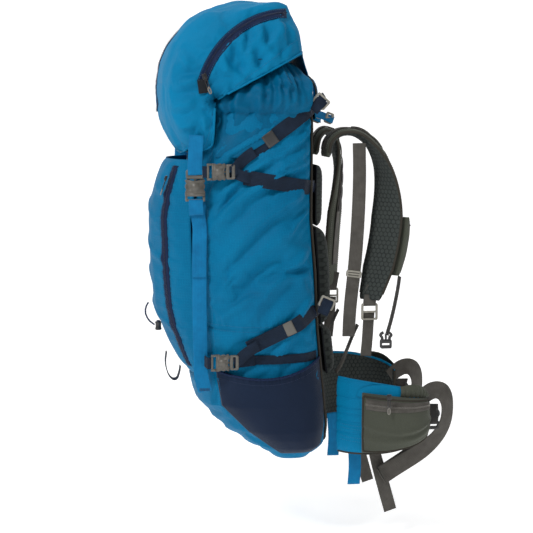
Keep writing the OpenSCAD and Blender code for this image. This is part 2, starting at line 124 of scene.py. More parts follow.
# %% Ripstop nylon and other woven cloth
def woven_cloth(name, light, dark, grid_mm, line, roughness=0.6, sheen=0.0, weave_mm=1.0, bump=0.25):
    made, tree, shader = material(name, roughness, sheen, 0.09)
    uv = node(tree, "ShaderNodeUVMap", uv_map="cloth")
    place = node(tree, "ShaderNodeTexCoord")
    split = node(tree, "ShaderNodeSeparateXYZ", {0: uv.outputs[0]})
    ridges = []
    for axis in (0, 1):
        turns = node(tree, "ShaderNodeMath", {0: split.outputs[axis], 1: 1000 / grid_mm},
            operation="MULTIPLY")
        wave = node(tree, "ShaderNodeMath", {0: turns.outputs[0], 1: 0.5}, operation="PINGPONG")
        ridge = node(tree, "ShaderNodeMapRange", {0: wave.outputs[0], 1: 0.0, 2: 0.12, 3: 1.0, 4: 0.0})
        ridges.append(ridge.outputs[0])
    ripstop = node(tree, "ShaderNodeMath", {0: ridges[0], 1: ridges[1]}, operation="MAXIMUM")
    fine = node(tree, "ShaderNodeMapping", {"Vector": uv.outputs[0], "Scale": (1000 / weave_mm,) * 3})
    threads = node(tree, "ShaderNodeTexChecker", {"Vector": fine.outputs[0], "Scale": 1.0})
    fading = node(tree, "ShaderNodeTexNoise",
        {"Vector": place.outputs["Object"], "Scale": 9.0, "Detail": 5.0})
    specks = node(tree, "ShaderNodeTexNoise",
        {"Vector": place.outputs["Object"], "Scale": 900.0, "Detail": 2.0})
    worn = node(tree, "ShaderNodeMix", {0: fading.outputs[0], 6: colour(dark), 7: colour(light)},
                data_type="RGBA")
    grain = node(tree, "ShaderNodeMapRange", {0: specks.outputs[0], 1: 0.3, 2: 0.7, 3: 0.86, 4: 1.12})
    tone = node(tree, "ShaderNodeMix", {0: 1.0, 6: worn.outputs[2], 7: grain.outputs[0]},
                data_type="RGBA", blend_type="MULTIPLY")
    share = node(tree, "ShaderNodeMath", {0: ripstop.outputs[0], 1: line}, operation="MULTIPLY")
    lined = node(tree, "ShaderNodeMix", {0: share.outputs[0], 6: tone.outputs[2], 7: colour(light)},
                 data_type="RGBA", blend_type="SCREEN")
    tree.links.new(lined.outputs[2], shader.inputs["Base Color"])
    height = node(tree, "ShaderNodeMath", {0: threads.outputs["Fac"], 1: 0.35, 2: ripstop.outputs[0]},
                  operation="MULTIPLY_ADD")
    relief = node(tree, "ShaderNodeBump",
        {"Strength": bump, "Distance": 0.0006, "Height": height.outputs[0]})
    tree.links.new(relief.outputs[0], shader.inputs["Normal"])
    gloss = node(tree, "ShaderNodeMapRange",
        {0: fading.outputs[0], 3: roughness - 0.08, 4: roughness + 0.1})
    tree.links.new(gloss.outputs[0], shader.inputs["Roughness"])
    return made


BLUE_RIPSTOP = woven_cloth("Blue ripstop nylon", "#0079a6", "#00567f", 5.0, 0.14)
BLUE_PLAIN = woven_cloth("Blue coated plain weave", "#0084b4", "#00648e", 3.0, 0.05, roughness=0.62)
BLUE_DEEP = woven_cloth("Blue collar cloth", "#006e98", "#00466a", 4.0, 0.05, roughness=0.45)
NAVY_STRETCH = woven_cloth("Navy stretch weave", "#1d2b42", "#131d30", 1.6, 0.10, roughness=0.75, sheen=0.1)
NAVY_CLOTH = woven_cloth("Navy packcloth", "#1d2c4c", "#141f38", 2.4, 0.08, roughness=0.6)
GREY_STRETCH = woven_cloth("Grey green stretch weave", "#54574d", "#3f423a", 1.8, 0.10, roughness=0.8,
    sheen=0.1)
GREY_BINDING = woven_cloth("Grey binding tape", "#423f39", "#302d28", 2.0, 0.12, roughness=0.75)
BLACK_CLOTH = woven_cloth("Charcoal packcloth", "#2c2f33", "#1d2024", 2.4, 0.06, roughness=0.7)
print("woven cloths:", [m.name for m in bpy.data.materials if m.users == 0][:8])

# %% [markdown]
# Webbing is woven in narrow ribs that run along it, crossed by fine rows. The UV map of each strap
# holds metres across and metres along, so both patterns stay straight on a strap that curls. The
# colour follows the relief, as painted shade in the valleys and painted highlight on the crowns, over
# random wear.

# %% Webbing
def webbing_weave(name, light, dark, rib_mm=2.6, row_mm=2.2):
    made, tree, shader = material(name, 0.75, 0.05, 0.2)
    uv = node(tree, "ShaderNodeUVMap", uv_map="cloth")
    place = node(tree, "ShaderNodeTexCoord")
    split = node(tree, "ShaderNodeSeparateXYZ", {0: uv.outputs[0]})
    across = node(tree, "ShaderNodeMath", {0: split.outputs[0], 1: 2000 * math.pi / rib_mm},
        operation="MULTIPLY")
    ribs = node(tree, "ShaderNodeMath", {0: across.outputs[0]}, operation="COSINE")
    along = node(tree, "ShaderNodeMath", {0: split.outputs[1], 1: 2000 * math.pi / row_mm},
        operation="MULTIPLY")
    shifted = node(tree, "ShaderNodeMath", {0: ribs.outputs[0], 1: 1.2, 2: along.outputs[0]},
                   operation="MULTIPLY_ADD")
    rows = node(tree, "ShaderNodeMath", {0: shifted.outputs[0]}, operation="SINE")
    height = node(tree, "ShaderNodeMath", {0: ribs.outputs[0], 1: 0.6, 2: rows.outputs[0]},
                  operation="MULTIPLY_ADD")
    wear = node(tree, "ShaderNodeTexNoise",
        {"Vector": place.outputs["Object"], "Scale": 60.0, "Detail": 4.0})
    # Painted shade and highlight: the relief darkens the valleys and lightens the crowns, over random wear.
    rib_shade_and_wear = node(tree, "ShaderNodeMath", {0: height.outputs[0], 1: 0.16, 2: wear.outputs[0]},
                 operation="MULTIPLY_ADD")
    tone = node(tree, "ShaderNodeMix", {0: rib_shade_and_wear.outputs[0], 6: colour(dark), 7: colour(light)},
                data_type="RGBA")
    tree.links.new(tone.outputs[2], shader.inputs["Base Color"])
    relief = node(tree, "ShaderNodeBump",
        {"Strength": 0.45, "Distance": 0.0006, "Height": height.outputs[0]})
    tree.links.new(relief.outputs[0], shader.inputs["Normal"])
    return made


BLUE_WEBBING = webbing_weave("Blue webbing", "#0583bb", "#005f90")
NAVY_WEBBING = webbing_weave("Navy webbing", "#1b2b40", "#0c1624")
GREY_WEBBING = webbing_weave("Grey webbing", "#625f5a", "#3f3c38")
DARK_WEBBING = webbing_weave("Dark grey webbing", "#45423f", "#2b2a2a")
print("four webbings made")

# %% [markdown]
# The pads wear a spacer mesh whose face is knitted in hexagonal cells. The cells themselves are real
# geometry further down. The material paints shade into their grooves through a mesh attribute that
# holds their relief, and adds the fine knit that covers them.

# %% Honeycomb spacer mesh
def spacer_mesh(name, light, dark):
    made, tree, shader = material(name, 0.9, 0.05, 0.15)
    place = node(tree, "ShaderNodeTexCoord")
    groove_shade = node(tree, "ShaderNodeAttribute", attribute_name="groove_shade")
    knit = node(tree, "ShaderNodeTexVoronoi", {"Vector": place.outputs["Object"], "Scale": 700.0})
    fuzz = node(tree, "ShaderNodeTexNoise",
        {"Vector": place.outputs["Object"], "Scale": 40.0, "Detail": 4.0})
    # Painted shade: the colour is darker in the grooves between the cells, where the relief is low, with random
    # fuzz.
    shade = node(tree, "ShaderNodeMath", {0: fuzz.outputs[0], 1: 0.3, 2: groove_shade.outputs["Fac"]},
                 operation="MULTIPLY_ADD")
    tone = node(tree, "ShaderNodeMix", {0: shade.outputs[0], 6: colour(dark), 7: colour(light)},
                data_type="RGBA")
    tree.links.new(tone.outputs[2], shader.inputs["Base Color"])
    relief = node(tree, "ShaderNodeBump", {"Strength": 0.5, "Distance": 0.0007, "Height": knit.outputs[0]})
    tree.links.new(relief.outputs[0], shader.inputs["Normal"])
    return made


PAD_MESH = spacer_mesh("Charcoal honeycomb mesh", "#3d4240", "#121416")
print("spacer mesh made")

# %% [markdown]
# Acetal is the hard, slightly waxy plastic of buckles. It is injection moulded with a faint spark
# grain, and rubs lighter on its high spots. The zip sliders are zinc under a thin black paint, and
# the stays are bare extruded aluminium with die lines along them.

# %% Moulded acetal, painted zinc and aluminium
def moulded(name, light, dark, roughness, grain_mm, metallic=0.0, stretch=(1, 1, 1)):
    made, tree, shader = material(name, roughness, 0.0, 0.5, metallic)
    place = node(tree, "ShaderNodeTexCoord")
    fitted = node(tree, "ShaderNodeMapping", {"Vector": place.outputs["Object"], "Scale": stretch})
    grain = node(tree, "ShaderNodeTexNoise",
        {"Vector": fitted.outputs[0], "Scale": 1000 / grain_mm, "Detail": 3.0})
    rub = node(tree, "ShaderNodeTexNoise",
        {"Vector": place.outputs["Object"], "Scale": 70.0, "Detail": 5.0})
    tone = node(tree, "ShaderNodeMix", {0: rub.outputs[0], 6: colour(dark), 7: colour(light)},
        data_type="RGBA")
    tree.links.new(tone.outputs[2], shader.inputs["Base Color"])
    gloss = node(tree, "ShaderNodeMapRange", {0: rub.outputs[0], 3: roughness - 0.08, 4: roughness + 0.12})
    tree.links.new(gloss.outputs[0], shader.inputs["Roughness"])
    relief = node(tree, "ShaderNodeBump",
        {"Strength": 0.12, "Distance": 0.0003, "Height": grain.outputs[0]})
    tree.links.new(relief.outputs[0], shader.inputs["Normal"])
    return made


ACETAL = moulded("Taupe moulded acetal", "#6b6861", "#4b4944", 0.38, 0.7)
ACETAL_DARK = moulded("Charcoal moulded acetal", "#3a3a3b", "#242425", 0.36, 0.7)
ZINC = moulded("Black painted zinc", "#26262a", "#141416", 0.3, 0.5)
BRIGHT = moulded("Pale acetal loop", "#a39f94", "#7d7a71", 0.35, 0.6)
STAY_METAL = moulded("Extruded aluminium", "#b9babc", "#96989b", 0.32, 0.6, 1.0, (12, 12, 1))
SHEET_PLASTIC = moulded("Black polyethylene sheet", "#2a2b2d", "#1b1c1e", 0.5, 1.2)


# %% [markdown]
# Thread is a twisted polyester cord, so it gets a painted highlight on its crown and painted shade in
# its valley. A coil zip is nylon monofilament, which is smoother than thread. Both are so fine that
# noise along the piece, which paints that light and shade and drives the bump, is all of their twist
# that can be seen.

# %% Thread and zip coil
def twisted(name, light, dark, roughness):
    made, tree, shader = material(name, roughness, 0.1)
    place = node(tree, "ShaderNodeTexCoord")
    twist = node(tree, "ShaderNodeTexNoise",
        {"Vector": place.outputs["Object"], "Scale": 1400.0, "Detail": 2.0})
    # Painted highlight and shade of the twist: the noise makes the colour lighter and darker along the piece.
    tone = node(tree, "ShaderNodeMix", {0: twist.outputs[0], 6: colour(dark), 7: colour(light)},
                data_type="RGBA")
    tree.links.new(tone.outputs[2], shader.inputs["Base Color"])
    relief = node(tree, "ShaderNodeBump", {"Strength": 0.4, "Distance": 0.0002, "Height": twist.outputs[0]})
    tree.links.new(relief.outputs[0], shader.inputs["Normal"])
    return made


BLUE_THREAD = twisted("Blue thread", "#1d7fae", "#0a5580", 0.6)
NAVY_THREAD = twisted("Navy thread", "#2a3c63", "#152240", 0.6)
GREY_THREAD = twisted("Grey thread", "#8f8c85", "#605d57", 0.6)
NAVY_COIL = twisted("Navy zip coil", "#1a2747", "#0c142a", 0.35)
BRAID = twisted("Navy braided cord", "#24355c", "#121d38", 0.55)
print("moulded and twisted materials ready")

# %% [markdown]
# The studio is a pale sweep of floor and wall with three soft lamps. The camera stands on the
# wearer's right, turned a little towards the front of the pack and slightly above its middle. It is
# made first, since it decides how large each detail shows.

# %% Studio and camera
AIM = Vector((-0.083, -0.165, -0.379))
DISTANCE, AZIMUTH, ELEVATION = 2.3, -8.0, 7.0
FRAME_WIDTH = 0.933


def studio_camera():
    a, e = math.radians(AZIMUTH), math.radians(ELEVATION)
    back = Vector((math.sin(a) * math.cos(e), -math.cos(a) * math.cos(e), math.sin(e)))
    lens = bpy.data.cameras.new("Camera")
    lens.sensor_width = 36
    lens.lens = 36 * DISTANCE / FRAME_WIDTH
    made = bpy.data.objects.new("Camera", lens)
    made.location = AIM + back * DISTANCE
    made.rotation_euler = back.to_track_quat("Z", "Y").to_euler()
    bpy.context.scene.collection.objects.link(made)
    bpy.context.scene.camera = made
    return made


def soft_lamp(name, place, power, size, aim=AIM):
    lamp = bpy.data.lights.new(name, "AREA")
    lamp.energy, lamp.size = power, size
    made = bpy.data.objects.new(name, lamp)
    made.location = place
    made.rotation_euler = (Vector(place) - Vector(aim)).to_track_quat("Z", "Y").to_euler()
    bpy.context.scene.collection.objects.link(made)


def sweep():
    floor_z, reach, wall_y, bend = cad_box[0].z - 0.05, 9.0, 5.0, 1.5
    turn = [math.radians(6 * i) for i in range(16)]
    profile = [(-reach, floor_z)] + [(wall_y - bend + bend * math.sin(t),
        floor_z + bend - bend * math.cos(t))
                                     for t in turn] + [(wall_y, reach)]
    verts = [(x, y, z) for y, z in profile for x in (-reach, reach)]
    faces = [(2 * i, 2 * i + 1, 2 * i + 3, 2 * i + 2) for i in range(len(profile) - 1)]
    mesh = bpy.data.meshes.new("Sweep")
    mesh.from_pydata(verts, [], faces)
    mesh.shade_smooth()
    made = bpy.data.objects.new("Sweep", mesh)
    bpy.context.scene.collection.objects.link(made)
    paper, tree, shader = material("White paper sweep", 0.9, 0.0, 0.2)
    place = node(tree, "ShaderNodeTexCoord")
    mottle = node(tree, "ShaderNodeTexNoise", {"Vector": place.outputs["Object"], "Scale": 2.0})
    tone = node(tree, "ShaderNodeMix", {0: mottle.outputs[0], 6: colour("#f4f4f4"), 7: colour("#fbfbfb")},
                data_type="RGBA")
    tree.links.new(tone.outputs[2], shader.inputs["Base Color"])
    shader.inputs["Emission Color"].default_value = colour("#ffffff")
    shader.inputs["Emission Strength"].default_value = 0.5
    mesh.materials.append(paper)


studio_camera()
sweep()
soft_lamp("Key", (-1.5, -1.5, 1.6), 40, 0.6)
soft_lamp("Fill", (1.9, -1.6, 0.2), 3.5, 2.0)
soft_lamp("Top", (0.1, 0.3, 1.9), 9, 1.4)
world = bpy.data.worlds.new("Room")
world.use_nodes = True
world.node_tree.nodes["Background"].inputs[0].default_value = (1, 1, 1, 1)
world.node_tree.nodes["Background"].inputs[1].default_value = 0.36
bpy.context.scene.world = world
bpy.context.scene.view_settings.view_transform = "Standard"
print("camera", bpy.context.scene.camera.location[:])

# %% [markdown]
# One free cord hangs on the front: a short loop of braided elastic from the cord lock. It leaves the
# lock's barrel towards the front, turns up and goes back into the pocket's face. Its route repeats
# the CAD model's, and it is made before the rest, so that its length is settled first.

# %% The elastic tool cord
BUNGEE_ROUTE = [(-269, 30, -510), (-272, 30, -508), (-278, 29, -503), (-283, 28, -496), (-286, 28, -488),
                (-286, 28, -480), (-284, 29, -473), (-280, 30, -467)]


def braided_cord():
    line = bpy.data.curves.new("tool_cord", "CURVE")
    line.dimensions = "3D"
    spline = line.splines.new("POLY")
    spline.points.add(len(BUNGEE_ROUTE) - 1)
    for point, (x, y, z) in zip(spline.points, BUNGEE_ROUTE):
        point.co = (x * MM, y * MM, z * MM, 1)
    line.bevel_depth, line.bevel_resolution, line.use_fill_caps = 0.0016, 4, True
    line.materials.append(BRAID)
    made = bpy.data.objects.new("tool_cord", line)
    bpy.context.scene.collection.objects.link(made)
    return made


tool_cord = braided_cord()
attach(tool_cord, "pack")
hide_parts("tool_bungee")

# %% [markdown]
# Sewn cloth is drawn as a grid of points. One function turns a grid into a mesh with a UV map that
# holds metres along the cloth, and another gives such a sheet its thickness, so that its edges show
# as folded cloth. The tables below are in millimetres, as in the CAD source, and meshes are in metres.

# %% Grids of points become cloth
def mix(a, b, t):
    return a + (b - a) * t


def look(x, table):
    return np.interp(x, [row[0] for row in table], [row[1] for row in table])


def lengths(points, axis):
    step = np.linalg.norm(np.diff(points, axis=axis), axis=2)
    total = np.cumsum(step, axis=axis)
    start = np.zeros_like(np.take(total, [0], axis=axis))
    run = np.concatenate([start, total], axis=axis)
    return run - np.take(run, [run.shape[axis] // 2], axis=axis)


def link(name, mesh, mat):
    made = bpy.data.objects.new(name, mesh)
    bpy.context.scene.collection.objects.link(made)
    if mat:
        mesh.materials.append(mat)
    return made


def cell_ids(nu, nv, base=0):
    i, j = np.meshgrid(np.arange(nu - 1), np.arange(nv - 1), indexing="ij")
    a = base + i * nv + j
    return np.stack([a, a + nv, a + nv + 1, a + 1], axis=-1).reshape(-1, 4)


def mesh_of(name, verts, quads, uv, mat):
    mesh = bpy.data.meshes.new(name)
    mesh.from_pydata((np.asarray(verts) * MM).tolist(), [], np.asarray(quads).tolist())
    layer = mesh.uv_layers.new(name="cloth")
    corner = np.zeros(len(mesh.loops), int)
    mesh.loops.foreach_get("vertex_index", corner)
    layer.data.foreach_set("uv", (np.asarray(uv)[corner] * MM).astype(np.float32).ravel())
    mesh.shade_smooth()
    return link(name, mesh, mat)


def grid_normals(points):
    du, dv = np.gradient(points, axis=0), np.gradient(points, axis=1)
    n = np.cross(du, dv)
    return n / np.maximum(np.linalg.norm(n, axis=2, keepdims=True), 1e-9)


def cloth(name, points, mat, thick=1.2, closed=False):
    """A sheet of cloth: points[u, v] in mm, outside where u x v points, walls made inwards."""
    points = np.asarray(points, float)
    nu, nv = points.shape[:2]
    outer = grid_normals(points)
    if closed:
        outer[0] = outer[-1] = outer[0] + outer[-1]
        outer /= np.maximum(np.linalg.norm(outer, axis=2, keepdims=True), 1e-9)
    inner = points - outer * thick
    verts = np.concatenate([points.reshape(-1, 3), inner.reshape(-1, 3)])
    n = nu * nv
    front, back = cell_ids(nu, nv), cell_ids(nu, nv, n)[:, ::-1]
    rims = []
    for i0, step, count in ((0, 1, nv), ((nu - 1) * nv, 1, nv), (0, nv, nu), (nv - 1, nv, nu)):
        a = i0 + step * np.arange(count - 1)
        rims.append(np.stack([a, a + step, a + step + n, a + n], axis=-1))
    rims = [rims[0], rims[1][:, ::-1], rims[2][:, ::-1], rims[3]]
    if closed:
        rims = rims[2:]
    u = lengths(points, 0).reshape(-1)
    v = lengths(points, 1).reshape(-1)
    uv = np.stack([u, v], axis=-1)
    made = mesh_of(name, verts, np.concatenate([front, back, *rims]), np.concatenate([uv, uv]), mat)
    if closed:
        weld(made, 0.0001)
    return made


def weld(piece, distance):
    work = bmesh.new()
    work.from_mesh(piece.data)
    bmesh.ops.remove_doubles(work, verts=work.verts, dist=distance)
    work.to_mesh(piece.data)
    work.free()




def mirrored(points):
    """The same grid on the other side of the pack, with its rows turned so that it faces out."""
    return (np.asarray(points) * (1, -1, 1))[::-1]


print("grid tools ready")

# %% [markdown]
# Straps are flat bands that follow a line. A band takes the line's points and, for each of them, the
# direction of its width. The thickness is real, and rounded edges are left to the small scale of
# the webbing's own weave. Cords and piping are tubes along a line.

# %% Bands and tubes along a line
def smooth_line(points, count):
    """A smooth curve through the points, cut into equal steps."""
    p = np.asarray(points, float)
    padded = np.concatenate([[2 * p[0] - p[1]], p, [2 * p[-1] - p[-2]]])
    t = np.linspace(0, len(p) - 1 - 1e-9, 24 * len(p))
    i = t.astype(int)
    f = (t - i)[:, None]
    a, b, c, d = padded[i], padded[i + 1], padded[i + 2], padded[i + 3]
    curve = 0.5 * (2 * b + (c - a) * f + (2 * a - 5 * b + 4 * c - d) * f ** 2 + (3 * b - a - 3 * c + d) * f ** 3)
    run = np.concatenate([[0], np.cumsum(np.linalg.norm(np.diff(curve, axis=0), axis=1))])
    even = np.linspace(0, run[-1], count)
    return np.stack([np.interp(even, run, curve[:, k]) for k in range(p.shape[1])], axis=-1)


def unit(v):
    v = np.asarray(v, float)
    return v / np.maximum(np.linalg.norm(v, axis=-1, keepdims=True), 1e-9)


def band(name, line, across, width, thick, mat, count=None, rows=5, crown=0.0, sink=0.0):
    """A strap of that width along the line; across is the direction of its width, for each point or all."""
    length = np.linalg.norm(np.diff(np.asarray(line, float), axis=0), axis=1).sum()
    count = count or max(8, int(length / 3.5))
    path = smooth_line(line, count)
    side = np.asarray(across, float)
    if side.ndim == 2:
        side = smooth_line(side, count)
    else:
        side = np.repeat(side[None], count, 0)
    ahead = unit(np.gradient(path, axis=0))
    side = unit(side - ahead * (side * ahead).sum(1, keepdims=True))
    up = np.cross(side, ahead)
    w = width if np.ndim(width) else np.full(count, width)
    profile = [(-0.5, 0.35), *[(x, 0.5 + crown * (1 - 4 * x * x)) for x in np.linspace(-0.47, 0.47, rows)],
        (0.5, 0.35),
               (0.5, -0.35), *[(x, -0.5 - sink) for x in np.linspace(0.47, -0.47, rows)], (-0.5, -0.35)]
    ring = np.array([path + side * (x * w)[:, None] + up * (z * thick) for x, z in profile])
    k = len(profile)
    verts = ring.transpose(1, 0, 2).reshape(-1, 3)
    i, j = np.meshgrid(np.arange(count - 1), np.arange(k), indexing="ij")
    a, b = i * k + j, i * k + (j + 1) % k
    quads = np.stack([a, a + k, b + k, b], axis=-1).reshape(-1, 4)
    run = np.concatenate([[0], np.cumsum(np.linalg.norm(np.diff(path, axis=0), axis=1))])
    uv = np.array([[x * float(np.max(w)), r] for r in run for x, z in profile])
    half = k // 2
    caps = [[s + m, s + m + 1, s + k - 2 - m, s + k - 1 - m] for s in (0,
        (count - 1) * k) for m in range(half - 1)]
    flip = len(caps) // 2
    caps = [c[::-1] for c in caps[:flip]] + caps[flip:]
    made = mesh_of(name, verts, np.concatenate([quads[:, ::-1], np.array(caps)]), uv, mat)
    face_out(made)
    return made


def face_out(piece):
    work = bmesh.new()
    work.from_mesh(piece.data)
    bmesh.ops.recalc_face_normals(work, faces=work.faces)
    work.to_mesh(piece.data)
    work.free()


def tube(name, line, radius, mat, sides=10, count=None):
    length = np.linalg.norm(np.diff(np.asarray(line, float), axis=0), axis=1).sum()
    count = count or max(8, int(length / 3))
    path = smooth_line(line, count)
    ahead = unit(np.gradient(path, axis=0))
    side = unit(np.cross(ahead, [0.2, 1.0, 0.1]))
    up = np.cross(side, ahead)
    turn = np.linspace(0, 2 * math.pi, sides, endpoint=False)
    r = radius if np.ndim(radius) else np.full(count, radius)
    verts = np.array([path + r[:, None] * (side * math.cos(t) + up * math.sin(t)) for t in turn])
    verts = verts.transpose(1, 0, 2).reshape(-1, 3)
    i, j = np.meshgrid(np.arange(count - 1), np.arange(sides), indexing="ij")
    a, b = i * sides + j, i * sides + (j + 1) % sides
    quads = np.stack([a, a + sides, b + sides, b], axis=-1).reshape(-1, 4).tolist()
    ends = [list(range(sides)), list(range((count - 1) * sides, count * sides))[::-1]]
    run = np.concatenate([[0], np.cumsum(np.linalg.norm(np.diff(path, axis=0), axis=1))])
    uv = [[j / sides * 6.28 * float(np.max(r)), x] for x in run for j in range(sides)]
    mesh = bpy.data.meshes.new(name)
    mesh.from_pydata((verts * MM).tolist(), [], quads + ends)
    layer = mesh.uv_layers.new(name="cloth")
    corner = np.zeros(len(mesh.loops), int)
    mesh.loops.foreach_get("vertex_index", corner)
    layer.data.foreach_set("uv", (np.asarray(uv)[corner] * MM).astype(np.float32).ravel())
    mesh.shade_smooth()
    made = link(name, mesh, mat)
    face_out(made)
    return made


def join(name, pieces):
    """Several meshes become one piece; each keeps its own material."""
    mats = []
    work = bmesh.new()
    for p in pieces:
        start = len(work.faces)
        work.from_mesh(p.data)
        work.faces.ensure_lookup_table()
        where = []
        for m in p.data.materials:
            if m not in mats:
                mats.append(m)
            where.append(mats.index(m))
        for f in work.faces[start:]:
            f.material_index = where[f.material_index] if where else 0
    mesh = bpy.data.meshes.new(name)
    work.to_mesh(mesh)
    work.free()
    for p in pieces:
        bpy.data.objects.remove(p)
    for m in mats:
        mesh.materials.append(m)
    return link(name, mesh, None)


print("bands, tubes and joins ready")

# %% [markdown]
# The bag's shape comes from three tables that give its front, back and half width against height.
# They are the same numbers as the CAD model's, so the cloth lies where its solid panels are.

# %% The bag's surface
BAG_FRONT = [(-742, -60), (-715, -96), (-680, -142), (-630, -190), (-580, -199), (-500, -206), (-400, -215),
             (-300, -218), (-200, -206), (-130, -196), (-60, -184), (0, -175)]
BAG_BACK = [(-742, 8), (-715, 38), (-680, 43), (-630, 43), (-580, 37), (-500, 28), (-400, 24), (-300, 16),
            (-200, 17), (-130, 19), (-60, 9), (0, -10)]
BAG_HALF = [(-742, 110), (-715, 135), (-680, 150), (-630, 160), (-580, 165), (-500, 170), (-400, 170),
            (-300, 168), (-200, 160), (-130, 150), (-60, 140), (0, 132)]
SQUARE = 3.2
BASE_Z, PANEL_LOW, PANEL_TOP = -742, -738, -112
BACK_SEAM = 50


def bag_point(angle, z, out):
    angle, z, out = np.broadcast_arrays(np.asarray(angle, float), np.asarray(z, float),
        np.asarray(out, float))
    front, back = look(z, BAG_FRONT) - out, look(z, BAG_BACK) + out
    rx, ry = (back - front) / 2, look(z, BAG_HALF) + out
    c, s = np.cos(np.radians(angle)), np.sin(np.radians(angle))
    r = ((np.abs(c) / rx) ** SQUARE + (np.abs(s) / ry) ** SQUARE) ** (-1 / SQUARE)
    return np.stack([(front + back) / 2 + r * c, r * s, z], axis=-1)


def side_y(x, z):
    front, back = look(z, BAG_FRONT), look(z, BAG_BACK)
    t = np.minimum(0.95, np.abs(2 * x - front - back) / (back - front))
    return look(z, BAG_HALF) * (1 - t ** SQUARE) ** (1 / SQUARE)


def even_rows(z, start, end, count):
    """Section angles that give equal steps of cloth around the bag at each height."""
    fine = np.linspace(start, end, 241)
    rows = []
    for height in z:
        ring = bag_point(fine, height, 0)
        run = np.concatenate([[0], np.cumsum(np.linalg.norm(np.diff(ring, axis=0), axis=1))])
        rows.append(np.interp(np.linspace(0, run[-1], count), run, fine))
    return np.array(rows).T


girth = bag_point(np.linspace(0, 360, 181), -400, 0)
print("girth at mid height", round(float(np.linalg.norm(np.diff(girth, axis=0), axis=1).sum())), "mm")

# %% [markdown]
# Loaded cloth hangs in tension folds: soft ridges that run from a strap or a seam towards the load.
# Each fold is a line on the side plane with a width and a depth. Its two flanks differ, as real
# folds lean one way, and its depth fades towards both ends.

# %% Folds pressed into a surface
def fold_depth(x, z, folds):
    depth = np.zeros(np.broadcast(x, z).shape)
    for x0, z0, x1, z1, width, height in folds:
        length = math.hypot(x1 - x0, z1 - z0)
        dx, dz = (x1 - x0) / length, (z1 - z0) / length
        along = ((x - x0) * dx + (z - z0) * dz) / length
        bend = 0.10 * length * np.sin(math.pi * np.clip(along, 0, 1)) * math.copysign(1,
            x0 + z0 * 0.37 + 190)
        aside = ((x - x0) * dz - (z - z0) * dx + bend * 0.5) / width
        fade = np.clip(1.25 - np.abs(2 * along - 1) ** 2.2 * 1.25, 0, 1)
        ridge = np.exp(-(aside * np.where(aside > 0, 1.0,
            1.7)) ** 2) - 0.55 * np.exp(-((aside - 1.6) / 0.9) ** 2)
        depth = depth + height * fade * ridge
    return depth


def ripple(a, b, scale, seed):
    """Smooth random swell between -1 and 1, from a few waves in fixed random directions."""
    waves = np.random.default_rng(seed)
    total = 0
    for k in range(7):
        turn, phase = waves.uniform(0, 2 * math.pi), waves.uniform(0, 2 * math.pi)
        size = scale * waves.uniform(0.6, 1.7)
        total = total + np.sin((a * math.cos(turn) + b * math.sin(turn)) * 2 * math.pi / size + phase)
    return total / 4


print("fold tools ready")

# %% [markdown]
# Cloth simulation gives the small buckles that no hand-made fold has. The sheet is pinned along its
# seams, made a little larger than its space and pushed out by a light pressure, with gravity off.
# Each point may move only a few millimetres, so the cloth stays clear of the buckles and pads.

# %% Settling cloth between its seams
def settle(points, pins, cap, pressure=2.0, spare=0.02, frames=16, stiff=0.4):
    nu, nv = points.shape[:2]
    mesh = bpy.data.meshes.new("settling")
    mesh.from_pydata((points.reshape(-1, 3) * MM).tolist(), [], cell_ids(nu, nv).tolist())
    piece = link("settling", mesh, None)
    group = piece.vertex_groups.new(name="pins")
    for index, weight in enumerate(np.asarray(pins, float).reshape(-1)):
        if weight > 0:
            group.add([index], float(weight), "REPLACE")
    sim = piece.modifiers.new("Cloth", "CLOTH")
    rules = sim.settings
    rules.quality, rules.mass, rules.air_damping = 4, 0.2, 4.0
    rules.tension_stiffness = rules.compression_stiffness = 12
    rules.shear_stiffness, rules.bending_stiffness = 4, stiff
    rules.vertex_group_mass = "pins"
    rules.shrink_min = -spare
    rules.use_pressure, rules.uniform_pressure_force = True, pressure
    rules.effector_weights.gravity = 0
    scene = bpy.context.scene
    for frame_number in range(1, frames + 1):
        scene.frame_set(frame_number)
    shaped = piece.evaluated_get(bpy.context.evaluated_depsgraph_get()).to_mesh()
    found = np.zeros(len(shaped.vertices) * 3)
    shaped.vertices.foreach_get("co", found)
    bpy.data.objects.remove(piece)
    scene.frame_set(1)
    moved = found.reshape(nu, nv, 3) / MM - points
    size = np.linalg.norm(moved, axis=2, keepdims=True)
    limit = np.asarray(cap, float).reshape(nu, nv, 1) if np.ndim(cap) else cap
    return points + moved * np.minimum(1, limit / np.maximum(size, 1e-6))


print("cloth will be simulated")

# %% [markdown]
# The front, both sides and the lower curve of the bag are one wrap of ripstop between the two back
# seams. It is drawn by its distance around the bag from the middle of the front, so that a fold can
# run from the side on to the front. Fabric lies deeper along the strap lines that pull it in.

# %% The wrap of ripstop around the bag
WRAP_U, WRAP_V = 190, 124
right_folds = [(150, -330, 330, -165, 15, 5.5), (165, -385, 345, -235, 12, 4.5),
    (150, -455, 320, -300, 17, 6),
               (215, -478, 350, -345, 12, 4.5), (160, -478, 245, -425, 10, 4),
                   (250, -560, 352, -430, 13, 4.5),
               (165, -265, 270, -175, 11, 4.5), (225, -250, 345, -190, 8, 3.5),
                   (150, -205, 250, -135, 11, 4.5),
               (260, -185, 350, -128, 9, 4.5), (290, -330, 352, -280, 8, 3.5),
                   (240, -405, 350, -385, 8, -3.5),
               (178, -560, 250, -505, 11, 3), (195, -660, 330, -585, 16, 4),
                   (120, -240, 185, -190, 10, 3.5),
               (300, -140, 352, -118, 7, 4), (170, -300, 215, -215, 8, -3), (255, -512, 330, -470, 8, 3)]
left_folds = [(-x0 + 6, z0 - 14, -x1 + 4, z1 + 9, w * 1.1, h) for x0, z0, x1, z1, w, h in right_folds]
base_folds = [(-140, -640, 130, -655, 10, 3), (-60, -690, 120, -668, 9, 3), (-130, -668, -20, -700, 9, 3)]


